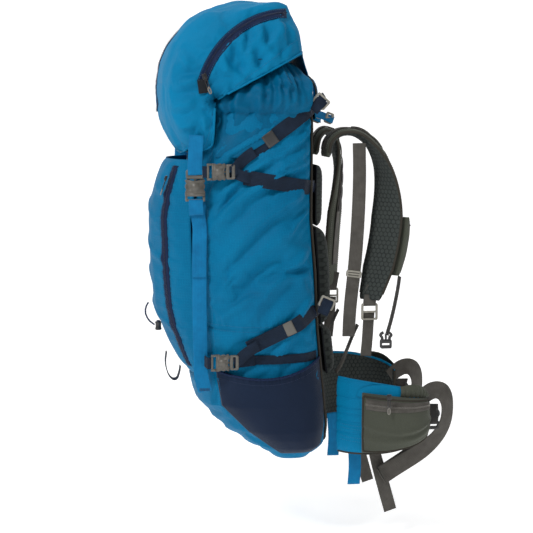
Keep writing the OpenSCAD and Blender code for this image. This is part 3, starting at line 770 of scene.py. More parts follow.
def press_of_straps(x, z):
    """How deep the side straps pull the cloth in at x, z on either side."""
    depth = 0
    for x0, z0, x1, z1 in ((-119, -188, -4, -108), (-119, -224, -6, -246), (-114, -522, 4, -468),
        (-114, -545, -8, -545)):
        length = math.hypot(x1 - x0, z1 - z0)
        dx, dz = (x1 - x0) / length, (z1 - z0) / length
        along = np.clip((x - x0) * dx + (z - z0) * dz, -12, length + 12)
        aside = np.hypot(x - x0 - along * dx, z - z0 - along * dz)
        depth = depth + 3.0 * np.exp(-(aside / 13) ** 2)
    return depth


def wrap_points():
    z = np.linspace(PANEL_LOW, PANEL_TOP, WRAP_V)
    angle = even_rows(z, BACK_SEAM, 360 - BACK_SEAM, WRAP_U)
    plain = bag_point(angle, z[None], 0)
    around = lengths(plain, 0)
    height = plain[:, :, 2]
    out = fold_depth(around, height, right_folds + left_folds + base_folds) * 1.5
    out += 0.7 * ripple(around, height, 120, 3) + 0.35 * ripple(around, height, 30, 4)
    seam = np.exp(-((height + 490 + 0.04 * (around - 200)) / 2.6) ** 2) * (np.abs(around) > 140) * (np.abs(around) < 290)
    puckers = np.sin(around * 0.62 + 2 * np.sin(around * 0.09)) * np.exp(-((height + 480) / 11) ** 2)
    out += -2.4 * seam + 0.9 * puckers * (np.abs(around) > 140) * (np.abs(around) < 290)
    corner = np.exp(-((np.abs(around) - 146) / 2.2) ** 2)
    out -= 1.6 * corner
    side = (np.abs(around) > 150)
    out -= press_of_straps(plain[:, :, 0], height) * side
    edge = np.clip((PANEL_TOP - height) / 12, 0, 1) * np.clip((height - PANEL_LOW) / 15, 0, 1)
    ends = np.clip((around.max(0)[None] - np.abs(around)) / 10, 0, 1)
    under_pocket = (np.abs(plain[:, :, 1]) < 126) & (height > -590) & (height < -185) & (plain[:, :,
        0] < -120)
    out = np.where(under_pocket, np.minimum(out, -0.5), out) * edge * ends
    return bag_point(angle, z[None], np.clip(out, -11, 7.5)), around, height


wrap, around, height = wrap_points()
pins = np.zeros((WRAP_U, WRAP_V))
pins[:2], pins[-2:], pins[:, :2], pins[:, -2:] = 1, 1, 1, 1
pins = np.maximum(pins, 0.9 * np.exp(-((np.abs(around) - 146) / 3) ** 2))
near_strap = press_of_straps(wrap[:, :, 0], height) * (np.abs(around) > 150)
pins = np.maximum(pins, np.clip(near_strap / 3, 0, 0.9))
buckle_near = np.exp(-(((wrap[:, :, 0] + 158) / 26) ** 2 + ((height + 213) / 22) ** 2))
buckle_near += np.exp(-(((wrap[:, :, 0] + 153) / 26) ** 2 + ((height + 547) / 22) ** 2))
reach = 8.5 * (1 - 0.85 * np.clip(buckle_near + near_strap / 3, 0, 1))
reach[(np.abs(wrap[:, :, 1]) < 124) & (wrap[:, :, 0] < -120) & (height > -592) & (height < -186)] = 0.6
wrap = settle(wrap, pins, reach, 1.6, 0.035, 18, 0.15)
bag_wrap = cloth("bag_wrap", wrap, BLUE_RIPSTOP, 1.4)
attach(bag_wrap, "pack")
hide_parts("front_panel", "right_side_panel", "left_side_panel")
print("bag wrap", len(bag_wrap.data.polygons), "faces")

# %% [markdown]
# Straps and pockets lie on this cloth, so its settled surface is kept as a search tree. A ray from
# outside finds how far out the cloth is at any place on the side or on the front.

# %% Finding the cloth again
surface = BVHTree.FromObject(bag_wrap, bpy.context.evaluated_depsgraph_get())


def side_of_bag(x, z, side, lift=0.0):
    hit = surface.ray_cast(Vector((x, side * 300, z)) * MM, Vector((0, -side, 0)))[0]
    y = hit.y / MM if hit else side * float(side_y(x, z))
    return (x, y + side * lift, z)



print("cloth beside the upper buckle at y =", round(side_of_bag(-140, -213, RIGHT)[1], 1), "mm")

# %% [markdown]
# The base is a round-cornered sheet of the same cloth on which the pack can stand. It is drawn as
# rings that shrink towards the middle, with a slow swell from the load above.

# %% The base
def base_points():
    turn = np.linspace(0, 360, 121)
    share = np.linspace(1, 0.02, 26)
    ring = bag_point(turn, PANEL_LOW, 0)
    centre = ring[:-1].mean(0)
    points = centre + (ring[:, None] - centre) * share[None, :, None]
    rise = np.where(share > 0.94, (share - 0.94) / 0.06 * 4.0, 0.0)
    points[:, :, 2] = BASE_Z + 0.3 + rise[None] + 0.6 * ripple(points[:, :, 0], points[:, :, 1], 70,
        9) * (share < 0.9)
    points[:, :, 2] = np.maximum(points[:, :, 2], BASE_Z)
    return points


base_cloth = cloth("base_cloth", base_points()[::-1], BLUE_RIPSTOP, 1.2, closed=True)
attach(base_cloth, "pack")
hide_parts("bottom_panel")
print("base", len(base_cloth.data.polygons), "faces")

# %% [markdown]
# The back panel is a tougher charcoal packcloth that carries the pads. It is flatter than the rest,
# since the frame sheet behind it keeps it in shape, and only a light swell shows.

# %% The back panel
def back_points():
    z = np.linspace(PANEL_LOW, PANEL_TOP, 90)
    angle = even_rows(z, -BACK_SEAM, BACK_SEAM, 70)
    plain = bag_point(angle, z[None], 0)
    swell = 0.5 * ripple(plain[:, :, 1], plain[:, :, 2], 60, 12)
    edge = np.clip((BACK_SEAM - np.abs(angle)) / 8, 0, 1) * np.clip((z[None] - PANEL_LOW) / 15, 0, 1)
    return bag_point(angle, z[None], np.clip(swell * edge, -1, 0.8))


back_cloth = cloth("back_cloth", back_points(), BLACK_CLOTH, 1.6)
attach(back_cloth, "pack")
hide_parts("back_panel")
print("back panel", len(back_cloth.data.polygons), "faces")

# %% [markdown]
# Above the seams the bag ends in a collar of thin cloth that a cord gathers under the lid. Gathers
# are folds that start shallow at the seam and deepen towards the cord, and no two are alike, so the
# number of folds, their lean and their depth all change slowly around the ring.

# %% The gathered collar
COLLAR_INSET = 24


def hem_height(x):
    """The lid's rear hem line, seen from the side."""
    return -91 + (x + 171) * math.tan(math.radians(28))


def collar_points():
    turn = np.linspace(0, 360, 721)
    v = np.linspace(0, 1, 44)
    a, b = np.meshgrid(turn, v, indexing="ij")
    x = bag_point(a, -110, -6)[:, :, 0]
    away = np.abs((a + 180) % 360 - 180)
    sides = np.clip((away - 48) / 6, 0, 1) * np.clip((132 - away) / 14, 0, 1)
    low = mix(-114, np.clip(-190 + (x + 119) * 0.696, -190, -112), sides)
    top = np.clip(hem_height(x) + 7, -66, -22)
    top = mix(top, -30, np.clip((40 - away) / 20, 0, 1))
    z = mix(low, top, b)
    wobble = 5 * np.sin(np.radians(3 * a + 40)) + 4 * np.sin(np.radians(7 * a))
    lean = 26 * b + 10 * np.sin(b * 5 + a * 0.13)
    pleat = np.cos(np.radians(25 * a + 11 * wobble + lean * 4)) + 0.5 * np.cos(np.radians(53 * a - 15 * wobble - lean * 3))
    grow = np.clip((b - 0.16) / 0.5, 0, 1) ** 1.2
    depth = 8.5 * grow * (0.7 + 0.3 * np.sin(np.radians(5 * a + 70)))
    crush = 5.0 * ripple(a * 2.4 + 14 * np.sin(b * 9), b * 90, 36, 15) * grow * sides
    height_share = np.clip((z + 112) / (top + 112), 0, 1)
    swell = 19 * np.sin(math.pi * np.clip(height_share * 0.96, 0, 1)) ** 0.7 * sides
    quick = np.clip((50 - away) / 10, 0, 1)
    inwards = COLLAR_INSET * mix(height_share ** 2.2, np.minimum(1, 3.5 * b), quick)
    rim = 1.3 * sides + mix(-1.5, 0, sides)
    return bag_point(a, z, rim + swell - inwards + depth * (pleat - 0.55) * 0.8 * mix(1, 0.3,
        quick) + crush)


gathered_collar = cloth("gathered_collar", collar_points(), BLUE_DEEP, 0.8, closed=True)
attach(gathered_collar, "pack")
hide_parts("snow_collar")
print("collar", len(gathered_collar.data.polygons), "faces")

# %% [markdown]
# A cord in a tunnel of cloth closes the collar. Only its tunnel shows, as a soft rolled edge.

# %% The collar's rolled edge
edge_line = collar_points()[::3, -1]
collar_hem = tube("collar_hem", edge_line, 2.2, BLUE_DEEP, 8, 480)
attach(collar_hem, "pack")
print("collar hem", len(collar_hem.data.polygons), "faces")

# %% [markdown]
# The front pocket is a shallow bellows sewn on the front. Its face bows out in one arc, and it falls
# back to the bag at both sides, where a zip lies under each edge. Light folds cross it.

# %% The front pocket
POCKET_C, POCKET_R = (117, -359), 395
POCKET_LOW, POCKET_HIGH, POCKET_HALF, FRONT_ZIP_Y, POCKET_BULGE = -580, -194, 128, 80, 55


def pocket_point(y, z, out):
    y, z, out = np.broadcast_arrays(np.asarray(y, float), np.asarray(z, float), np.asarray(out, float))
    front, back = look(z, BAG_FRONT), look(z, BAG_BACK)
    share = np.abs(y) / look(z, BAG_HALF)
    x = (front + back) / 2 - (back - front) / 2 * (1 - share ** SQUARE) ** (1 / SQUARE)
    arc = POCKET_C[0] - np.sqrt(POCKET_R ** 2 - (z - POCKET_C[1]) ** 2)
    depth = np.clip(front - arc, 0, POCKET_BULGE)
    fall = 1 - (np.abs(y) / POCKET_HALF) ** 2.6
    return np.stack([x - 1.5 - out - depth * fall, y, z], axis=-1)


def pocket_points():
    y, z = np.meshgrid(np.linspace(1, -1, 84) * POCKET_HALF * 0.955,
        np.linspace(POCKET_LOW, POCKET_HIGH, 120),
                       indexing="ij")
    folds = [(-110, -500, 60, -440, 12, 3.2), (-20, -420, 112, -380, 12, 3), (-112, -380, 30, -330, 10, 3),
             (-50, -300, 110, -262, 11, 3), (-112, -262, -10, -232, 9, 2.6), (20, -545, 112, -520, 10, 2.5)]
    out = fold_depth(y, z, folds) + 0.5 * ripple(y, z, 45, 21)
    zip_dip = np.exp(-((np.abs(y) - FRONT_ZIP_Y) / 7) ** 2)
    edge = np.clip((POCKET_HALF * 0.955 - np.abs(y)) / 8, 0, 1)
    edge = edge * np.clip((z - POCKET_LOW) / 12, 0, 1) * np.clip((POCKET_HIGH - z) / 12, 0, 1)
    return pocket_point(y, z, 2.0 + np.clip(out * (1 - zip_dip) - 1.2 * zip_dip, -3, 3) * edge)


pocket_grid = pocket_points()
pocket_pins = np.zeros(pocket_grid.shape[:2])
pocket_pins[:2], pocket_pins[-2:], pocket_pins[:, :2], pocket_pins[:, -2:] = 1, 1, 1, 1
pocket_pins = np.maximum(pocket_pins, np.exp(-((np.abs(pocket_grid[:, :,
    1]) - FRONT_ZIP_Y) / 6) ** 2) * 0.95)
pocket_grid = settle(pocket_grid, pocket_pins, 3.2, 1.5, 0.02, 14, 0.3)
front_pouch = cloth("front_pouch", pocket_grid, BLUE_RIPSTOP, 1.4)
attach(front_pouch, "pack")
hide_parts("front_pocket")
front_surface = BVHTree.FromObject(front_pouch, bpy.context.evaluated_depsgraph_get())
print("front pocket", len(front_pouch.data.polygons), "faces")

# %% [markdown]
# Each side has a bottle pocket of stretch weave. It stands off the bag in the middle, its mouth dips
# towards the wearer's hand, and a bound elastic hem ripples along the mouth.

# %% Stretch pockets with an elastic hem
POCKET_BASE, POCKET_HEM, POCKET_DIP, POCKET_GAP = -726, -566, 18, 17


def bottle_pocket_points(lift=0.0, nu=90, nv=56):
    u, v = np.meshgrid(np.linspace(0, 1, nu), np.linspace(0, 1, nv), indexing="ij")
    top = POCKET_HEM - POCKET_DIP * np.sin(math.pi * u) + 16 * u
    z = mix(POCKET_BASE, top, v)
    x = mix(look(z, BAG_FRONT) + 30, look(z, BAG_BACK) - 14, u)
    stand = POCKET_GAP * np.sin(math.pi * u) * np.minimum(1, 2.2 * np.sqrt(v))
    ruffle = 0.9 * np.sin(u * 150 + 3 * np.sin(u * 13)) * np.clip((v - 0.86) / 0.14, 0,
        1) * np.sin(math.pi * u) ** 0.3
    sag = 1.5 * ripple(u * 200, v * 130, 60, 31) * np.sin(math.pi * u) * np.sin(math.pi * v) ** 0.5
    return np.stack([x, -side_y(x, z) - 3 - stand - lift - ruffle - sag * 0.5, z], axis=-1)


for side, name in ((RIGHT, "right"), (LEFT, "left")):
    grid = bottle_pocket_points()
    hem = grid[:, -1] + (0, -0.4, 0)
    if side == LEFT:
        grid, hem = mirrored(grid), hem * (1, -1, 1)
    body = cloth("stretch", grid, NAVY_STRETCH, 1.6)
    elastic = tube("elastic", hem, 2.4, NAVY_CLOTH, 10, 150)
    bottle_pocket = join(name + "_bottle_pocket", [body, elastic])
    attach(bottle_pocket, "pack")
    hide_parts(name + "_stretch_pocket")
print("two bottle pockets")

# %% [markdown]
# A cord covered in grey tape is sewn into each seam between the side and the back. It stiffens the
# edge and shows as a thin pale line down the pack.

# %% Piping along the back seams
for side, name in ((RIGHT, "right"), (LEFT, "left")):
    line = [bag_point(side * BACK_SEAM, z, 2.6).tolist() for z in range(-736, -110, 12)]
    core = tube("core", line, 2.1, GREY_BINDING, 12)
    flange = [bag_point(side * BACK_SEAM, z, 0.8).tolist() for z in range(-736, -110, 12)]
    lip = band("lip", flange, [0.6, side * 0.8, 0], 5.0, 1.6, GREY_BINDING)
    piping = join(name + "_piping", [core, lip])
    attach(piping, "pack")
    if side == RIGHT:
        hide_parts("edge_piping")
print("piping made")

# %% [markdown]
# The lid is a stuffed dome over the top. Seen from the side its outline is a table of angles and
# radii about the corner of its hem, and across the pack it is a rounded slab. Its side lobes hang
# lower than its front edge, so the outline's last angle grows towards the sides.

# %% The lid's surface
LID_C = (-171, -91)
LID_OUTLINE = [(28, 178), (32, 182), (39, 192), (47, 195), (51, 205), (60, 189), (79, 161), (105, 133),
    (131, 105),
               (159, 84), (195, 80), (213, 84), (230, 94), (242, 103), (268, 104)]
LID_HALF, LID_SQUARE = 156, 3.6
REAR_ANGLE, FRONT_ANGLE, LOBE_ANGLE = 28, 241, 267


def lid_point(angle, q, out):
    side_share = np.clip((np.abs(q) - 8) / 30, 0, 1)
    rear = np.clip((66 - np.asarray(angle, float)) / 20, 0, 1)
    r = look(angle, LID_OUTLINE) + out + 15 * side_share * rear
    c = np.abs(np.cos(np.radians(q))) ** (2 / LID_SQUARE) + 0.03
    y = np.sign(q) * (LID_HALF + out) * np.abs(np.sin(np.radians(q))) ** (2 / LID_SQUARE)
    y = y * np.ones_like(r)
    return np.stack([LID_C[0] + r * c * np.cos(np.radians(angle)), y,
        LID_C[1] + r * c * np.sin(np.radians(angle))], -1)


def lid_sections(count):
    fine = np.concatenate([np.linspace(-90, -89, 200), np.linspace(-89, 89, 2000),
        np.linspace(89, 90, 200)])
    fine = np.unique(np.concatenate([fine, np.linspace(-0.5, 0.5, 400)]))
    ring = lid_point(90.0, fine, 0)
    run = np.concatenate([[0], np.cumsum(np.linalg.norm(np.diff(ring, axis=0), axis=1))])
    return np.interp(np.linspace(0, run[-1], count), run, fine)


def lid_angles(q, count):
    lobe = np.clip((np.abs(np.sin(np.radians(q))) ** (2 / LID_SQUARE) - 0.72) / 0.2, 0, 1)
    front = mix(FRONT_ANGLE, LOBE_ANGLE, lobe * lobe * (3 - 2 * lobe))
    return mix(front[None], REAR_ANGLE, np.linspace(0, 1, count)[:, None])


sections = lid_sections(150)
print("lid profile steps", len(sections), "lobe reaches", lid_angles(sections, 3)[0].max(), "degrees")

# %% [markdown]
# Two kinds of fold mark a stuffed lid. Puckers fan out from the places where the hem is drawn in,
# and long ridges run over the crown where the filling ends. Both are lines in the side plane, and
# they fade towards the crown's middle so that the two sides can differ.

# %% Folds of the lid
side_puckers = [(-117, -31, -128, 38, 12, 6.0), (-117, -31, -86, 44, 11, 5.5), (-80, -21, -96, 50, 10, 5.0),
                (-80, -21, -42, 52, 12, 5.5), (-37, -10, -58, 52, 9, 5.0), (-37, -10, -16, 44, 9, 4.5),
                (-150, -50, -152, 22, 12, 5.0), (-150, -50, -178, 0, 11, 4.5), (-98, -34, -60, 8, 8, -4.0),
                (-130, -44, -110, 6, 8, -4.0), (-60, -18, -24, 20, 8, -3.5),
                    (-186, -60, -240, -70, 12, 5.0),
                (-180, -96, -252, -108, 13, 4.5), (-176, -130, -246, -140, 12, 4.0),
                    (-180, -168, -214, -100, 10, 3.5),
                (-215, -40, -236, 0, 10, 4.0), (-205, -178, -196, -120, 9, 3.5),
                    (-160, -20, -120, 22, 9, 3.5)]
crown_folds = [(-250, -60, -150, -110, 20, 4.5), (-230, 20, -100, 60, 22, 4.5),
    (-190, -40, -60, 10, 20, 4.0),
               (-200, 100, -60, 120, 18, 4.0), (-150, -130, -30, -70, 18, 4.5), (-90, 30, -16, 90, 16, 4.0)]


def lid_points(nu=150):
    angle = lid_angles(sections, nu)
    q = np.broadcast_to(sections[None], angle.shape)
    plain = lid_point(angle, q, 0)
    x, y, z = plain[:, :, 0], plain[:, :, 1], plain[:, :, 2]
    sideways = np.clip((np.abs(y) - 118) / 30, 0, 1)
    out = fold_depth(x + np.where(y > 0, 9, 0), z - np.where(y > 0, 6, 0), side_puckers) * sideways
    out *= 1.5
    out += 1.3 * fold_depth(x, y, crown_folds) * (1 - sideways) + 1.1 * ripple(x + z, y, 90,
        41) + 0.4 * ripple(x - z, y, 30, 42)
    hem = np.clip(np.minimum(angle - REAR_ANGLE, angle.max(0)[None] - angle) / 9, 0, 1)
    reach_c = np.hypot(x - LID_C[0], z - LID_C[1])
    hem = np.minimum(hem, np.clip((reach_c - 10) / 20, 0, 1))
    band_r = np.hypot(x + 30, z + 108)
    on_zip = np.exp(-((band_r - 170) / 10) ** 2) * (np.abs(y) > 120)
    out = np.clip(out * hem * (1 - 0.9 * on_zip) - 0.8 * on_zip, -9, 7.0)
    shaped = lid_point(angle, q, out)
    gather = np.sin(angle * 1.05 * 6) * np.clip(1 - hem, 0, 1) * 0.8
    shaped[:, :, 1] += np.sign(y) * gather * (np.abs(y) > 110)
    return shaped, on_zip, hem


lid_grid, on_zip, hem_share = lid_points()
lid_pins = np.maximum(on_zip > 0.6, hem_share < 0.15).astype(float) * 0.95
lid_grid = settle(lid_grid, lid_pins, 7.0, 1.8, 0.035, 18, 0.2)
lid_cloth = cloth("lid_cloth", lid_grid, BLUE_PLAIN, 1.6)
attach(lid_cloth, "lid")
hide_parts("lid_shell")
lid_surface = BVHTree.FromObject(lid_cloth, bpy.context.evaluated_depsgraph_get())
print("lid", len(lid_cloth.data.polygons), "faces")


def side_of_lid(x, z, side, lift=0.0):
    hit = lid_surface.ray_cast(Vector((x, side * 300, z)) * MM, Vector((0, -side, 0)))[0]
    return (x, (hit.y / MM if hit else side * 150) + side * lift, z)


# %% [markdown]
# The lid's underside closes its pocket. It is lined with plain navy cloth that sags a little in the
# middle under what the pocket holds, and meets the hem all round.

# %% The lid's lining
def lining_points():
    x, v = np.meshgrid(np.linspace(-234, -34, 60), np.linspace(-1, 1, 80), indexing="ij")
    z = -12 + (x + 22) * 0.14
    half = np.array([[abs(side_of_lid(float(a), float(b), LEFT, -6)[1]) for a, b in zip(row_x, row_z)]
                     for row_x, row_z in zip(x[:, :1], z[:, :1])])
    half = np.minimum(half, 150)
    y = half * v
    sag = 4 * np.cos(v * math.pi / 2) * np.sin(math.pi * (x + 234) / 200)
    return np.stack([x, y, z + 1.5 - sag + 0.7 * ripple(x, y, 50, 51)], axis=-1)


lid_lining = cloth("lid_lining", lining_points()[:, ::-1], NAVY_CLOTH, 1.2)
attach(lid_lining, "lid")
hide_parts("lid_underside")
print("lid lining", len(lid_lining.data.polygons), "faces")

# %% [markdown]
# A folded hem finishes the lid's lower edge. It is a narrow roll of the same cloth that follows the
# edge of the shell, and it hides the join with the lining.

# %% The lid's hem
def strip_hem(name, edge, radius, mat):
    return tube(name, edge, radius, mat, 8, max(60, int(len(edge) * 1.5)))


rear_edge, front_edge = lid_grid[-1, 4:-4:2], lid_grid[0, 4:-4:2]
lid_hem = join("lid_hem", [strip_hem("rear", rear_edge, 2.2, BLUE_PLAIN),
    strip_hem("front", front_edge, 2.4, BLUE_PLAIN)])
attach(lid_hem, "lid")
print("lid hem", len(lid_hem.data.polygons), "faces")

# %% [markdown]
# A zip is two cloth tapes with a coil of nylon along the edge of each. On this pack the tapes are wide
# and navy and lie on top of the cloth. Each tape follows the surface under it, found by a ray, and
# the coil down the middle comes later with the other repeated parts.

# %% Zip tapes on the lid
ZIP_C, ZIP_R = (-30, -108), 170


def lid_zip_line(side, radius, lift, first=163, last=93, count=64):
    turn = np.radians(np.linspace(first, last, count))
    return np.array([side_of_lid(ZIP_C[0] + radius * math.cos(t), ZIP_C[1] + radius * math.sin(t), side,
        lift)
                     for t in turn])


def lid_zip_tape(side):
    rows = [lid_zip_line(side, ZIP_R + w, lift) for w,
        lift in ((-8.5, 0.9), (-5, 1.5), (-1.6, 1.7), (0, 1.1),
                                                                 (1.6, 1.7), (5, 1.5), (8.5, 0.9))]
    grid = np.array(rows).transpose(1, 0, 2)
    return cloth("tape", grid if side == RIGHT else grid[::-1], NAVY_CLOTH, 1.0)


def zip_garage(side):
    """The small cover that the slider runs into."""
    t = math.radians(163)
    x, z = ZIP_C[0] + ZIP_R * math.cos(t), ZIP_C[1] + ZIP_R * math.sin(t)
    line = [side_of_lid(x - 1 + 3 * s, z - 24 * s + 4, side, 2.4) for s in (0, 0.25, 0.5, 0.75, 1)]
    return band("garage", line, [1, 0, 0.1], 17, 1.4, BLACK_CLOTH)


for side, name in ((RIGHT, "right"), (LEFT, "left")):
    tape = join("lid_zip_tape_" + name, [lid_zip_tape(side), zip_garage(side)])
    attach(tape, "lid")
    if side == RIGHT:
        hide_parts("lid_zip_tapes")


def crown_zip_tape():
    """A second zip runs over the crown, a little to the left of the middle."""
    index = int(np.argmin(np.abs(sections - 7)))
    rows = []
    normals = grid_normals(lid_grid)
    first, last = 34, 122
    for k, lift in ((-5, 0.8), (-3, 1.5), (-1, 1.6), (0, 1.1), (1, 1.6), (3, 1.5), (5, 0.8)):
        rows.append(lid_grid[first:last, index] + normals[first:last,
            index] * lift + np.array((0, 1.9 * k, 0)))
    return cloth("crown_zip_tape", np.array(rows).transpose(1, 0, 2), NAVY_CLOTH, 1.0), rows[3]


crown_tape, crown_zip_line = crown_zip_tape()
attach(crown_tape, "lid")
print("lid zip length", round(float(np.linalg.norm(np.diff(lid_zip_line(RIGHT, ZIP_R, 1), axis=0),
    axis=1).sum())), "mm")

# %% [markdown]
# The front pocket's two zips run down its face and are made in the same way.

# %% Zip tapes on the front pocket
def front_at(y, z, lift):
    hit = front_surface.ray_cast(Vector((-400, y, z)) * MM, Vector((1, 0, 0)))[0]
    return ((hit.x / MM if hit else float(pocket_point(y, z, 2)[..., 0])) - lift, y, z)


def front_zip_line(side, offset, lift, count=90):
    return np.array([front_at(side * FRONT_ZIP_Y + offset, z, lift) for z in np.linspace(POCKET_LOW + 12,
        POCKET_HIGH - 12, count)])


for side, name in ((RIGHT, "right"), (LEFT, "left")):
    rows = [front_zip_line(side, w, lift) for w,
        lift in ((8, 0.9), (4.5, 1.5), (1.6, 1.7), (0, 1.1), (-1.6, 1.7),
                                                         (-4.5, 1.5), (-8, 0.9))]
    tape = cloth("front_zip_tape_" + name, np.array(rows), NAVY_CLOTH, 1.0)
    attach(tape, "pack")
    if side == RIGHT:
        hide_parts("front_zip_tapes")
print("front zips made")

# %% [markdown]
# The lid needs a hinge, and on a soft pack that is a strip of cloth. It is sewn to the top of the back at
# one end and to the lid's rear edge at the other.

# %% The lid's cloth hinge
FLAP_HALF, FLAP_LOW = 92, -124


def flap_points():
    y = np.linspace(-FLAP_HALF, FLAP_HALF, 73)
    order = np.argsort(rear_edge[:, 1])
    end = [np.interp(y, rear_edge[order, 1], rear_edge[order, k]) for k in (0, 2)]
    foot = float(look(FLAP_LOW, BAG_BACK)) - 1.0
    rows = []
    for t in np.linspace(0, 1, 42):
        x = mix(foot, end[0] - 3, t * t) - 3.0 * np.sin(math.pi * t)
        z = mix(FLAP_LOW, end[1] + 6, t)
        rows.append(np.stack([x + 0.8 * ripple(y, z, 34, 77) * np.sin(math.pi * t), y, z], axis=-1))
    return np.array(rows).transpose(1, 0, 2)


lid_hinge_flap = cloth("lid_hinge_flap", flap_points(), BLUE_PLAIN, 1.2)
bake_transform(lid_hinge_flap)
print("cloth hinge from", flap_points()[36, 0].round(1), "to", flap_points()[36, -1].round(1))

# %% [markdown]
# Buckles are injection moulded, so every edge is rounded and no wall is thicker than about three
# millimetres. They are put together from a few bevelled blocks and rings in their own small frame:
# X along the strap, Z across it and Y through it. One function then turns and places them.

# %% Bevelled blocks and rings
def from_work(name, work, mat, bevel, segments=2):
    if bevel:
        sharp = [e for e in work.edges if len(e.link_faces) == 2 and e.calc_face_angle(0) > 0.7]
        bmesh.ops.bevel(work, geom=sharp, offset=bevel, segments=segments, profile=0.6, affect="EDGES")
    bmesh.ops.recalc_face_normals(work, faces=work.faces)
    mesh = bpy.data.meshes.new(name)
    work.to_mesh(mesh)
    work.free()
    mesh.transform(Matrix.Scale(MM, 4))
    mesh.shade_smooth()
    return link(name, mesh, mat)


def block(low, high, mat, bevel=0.8):
    work = bmesh.new()
    bmesh.ops.create_cube(work, size=1)
    low, high = Vector(low), Vector(high)
    size = high - low
    for v in work.verts:
        v.co = low + Vector((size.x * (v.co.x + 0.5), size.y * (v.co.y + 0.5), size.z * (v.co.z + 0.5)))
    return from_work("block", work, mat, min(bevel, 0.45 * min(size)))


def rounded(w, h, r, per_corner=5):
    r = min(r, w / 2 - 0.01, h / 2 - 0.01)
    points = []
    for k, (sx, sz) in enumerate(((1, 1), (-1, 1), (-1, -1), (1, -1))):
        for i in range(per_corner):
            t = math.pi / 2 * (k + i / (per_corner - 1))
            points.append((sx * (w / 2 - r) + r * math.cos(t), sz * (h / 2 - r) + r * math.sin(t)))
    return points


def ring(outer, inner, thick, mat, bevel=0.6):
    """A flat frame in the X-Z plane between two outlines of the same number of points."""
    work = bmesh.new()
    n = len(outer)
    rows = [[work.verts.new((x, y, z)) for x, z in outline] for outline, y in
            ((outer, thick / 2), (inner, thick / 2), (inner, -thick / 2), (outer, -thick / 2))]
    for a, b in ((0, 1), (1, 2), (2, 3), (3, 0)):
        for i in range(n):
            work.faces.new((rows[a][i], rows[a][(i + 1) % n], rows[b][(i + 1) % n], rows[b][i]))
    return from_work("ring", work, mat, bevel)


def prism(outline, thick, mat, bevel=0.6, y=0.0):
    work = bmesh.new()
    low = [work.verts.new((x, y - thick / 2, z)) for x, z in outline]
    high = [work.verts.new((x, y + thick / 2, z)) for x, z in outline]
    n = len(outline)
    work.faces.new(low)
    work.faces.new(high[::-1])
    for i in range(n):
        work.faces.new((low[i], high[i], high[(i + 1) % n], low[(i + 1) % n]))
    return from_work("prism", work, mat, bevel)


def place(piece, at, tilt=0.0, flip=False, spin=0.0):
    """Tilt about Y, in degrees, after an optional mirror to the pack's other side, then move, in mm."""
    m = Matrix.Translation(Vector(at) * MM) @ Matrix.Rotation(math.radians(tilt), 4, "Y")
    m = m @ Matrix.Rotation(math.radians(spin), 4, "Z")
    if flip:
        m = m @ Matrix.Scale(-1, 4, (0, 1, 0))
    piece.data.transform(m)
    if flip:
        piece.data.flip_normals()
    return piece


print("moulding tools ready")

# %% [markdown]
# A side release buckle has a socket of two thin plates with a window on each side, and a plug whose
# two sprung arms show in those windows. The plug's arms bow out where fingers squeeze them.

# %% The side release buckle
BUCKLE_THICK, TONGUE_THICK, PLAY = 10, 5, 0.6


def buckle_socket(web, length, mat):
    w = web + 9
    plate = [(-length * 0.62, w / 2), (-length * 0.52, w / 2 - 0.6), (-length * 0.42, w / 2 - 3.4),
        (-length * 0.24, w / 2 - 3.6),
             (-length * 0.12, w / 2 - 0.8), (-1.5, w / 2), (0, w / 2 - 1.5)]
    nose = [(-1.6, w * 0.2), (-2.6, 0), (-1.6, -w * 0.2)]
    outline = plate + nose + [(x, -z) for x, z in plate[::-1]]
    parts = [prism(outline, 2.2, mat, 0.8, side * (BUCKLE_THICK / 2 - 1.1)) for side in (1, -1)]
    parts.append(block((-length * 0.62, -BUCKLE_THICK / 2, -w / 2), (-length + 9, BUCKLE_THICK / 2, w / 2),
        mat, 1.6))
    for side in (1, -1):
        parts.append(block((-length, -3.4, side * (w / 2 - 3.6)), (-length + 10.5, 3.4, side * w / 2), mat,
            1.2))
        parts.append(block((-3.2, -4.6, side * (w / 2 - 2.6)), (-0.4, 4.6, side * (w / 2 - 0.3)), mat, 0.8))
        parts.append(block((-length * 0.58, side * 4.6, -w * 0.22), (-length * 0.14, side * 5.2, w * 0.22),
            mat, 0.5))
    parts.append(block((-length, -2.6, -w / 2 + 1), (-length + 4, 2.6, w / 2 - 1), mat, 1.6))
    return join("socket", parts)


def buckle_plug(web, length, mat):
    reach = length * 0.55 - PLAY
    outer = [(x + 8.6, z) for x, z in rounded(16, web + 6, 3.0)]
    inner = [(x + 9, z) for x, z in rounded(4.4, web, 1.2)]
    parts = [ring(outer, inner, TONGUE_THICK + 1.5, mat, 0.9)]
    for side in (1, -1):
        arm = [(2, 0, side * (web / 2 - 1.0)), (-reach * 0.3, 0, side * (web / 2 - 0.2)),
               (-reach * 0.55, 0, side * (web / 2 + 2.4)), (-reach * 0.82, 0, side * (web / 2 + 0.8)),
               (-reach, 0, side * (web / 2 - 3.0))]
        parts.append(band("arm", arm, [0, 1, 0], TONGUE_THICK - 0.8, 4.6, mat, 16, 3))
    parts.append(block((-reach * 0.8, -1.6, -1.8), (2, 1.6, 1.8), mat, 0.8))
    return join("plug", parts)


def ladderlock(w, h, mat, thick=4.0):
    """A frame with two slots: the strap's tail locks over the middle bar."""
    parts = [ring(rounded(w, h, 3.0), rounded(w - 7, h - 6, 1.5), thick, mat, 0.9)]
    parts.append(block((-w / 2 + 2, -1.6, -1.7), (w / 2 - 2, 2.4, 1.7), mat, 1.0))
    parts.append(block((-w / 2 + 1, -thick / 2 - 0.6, h / 2 - 2.8),
        (w / 2 - 1, thick / 2 + 0.6, h / 2 + 0.4), mat, 1.1))
    return join("ladderlock", parts)


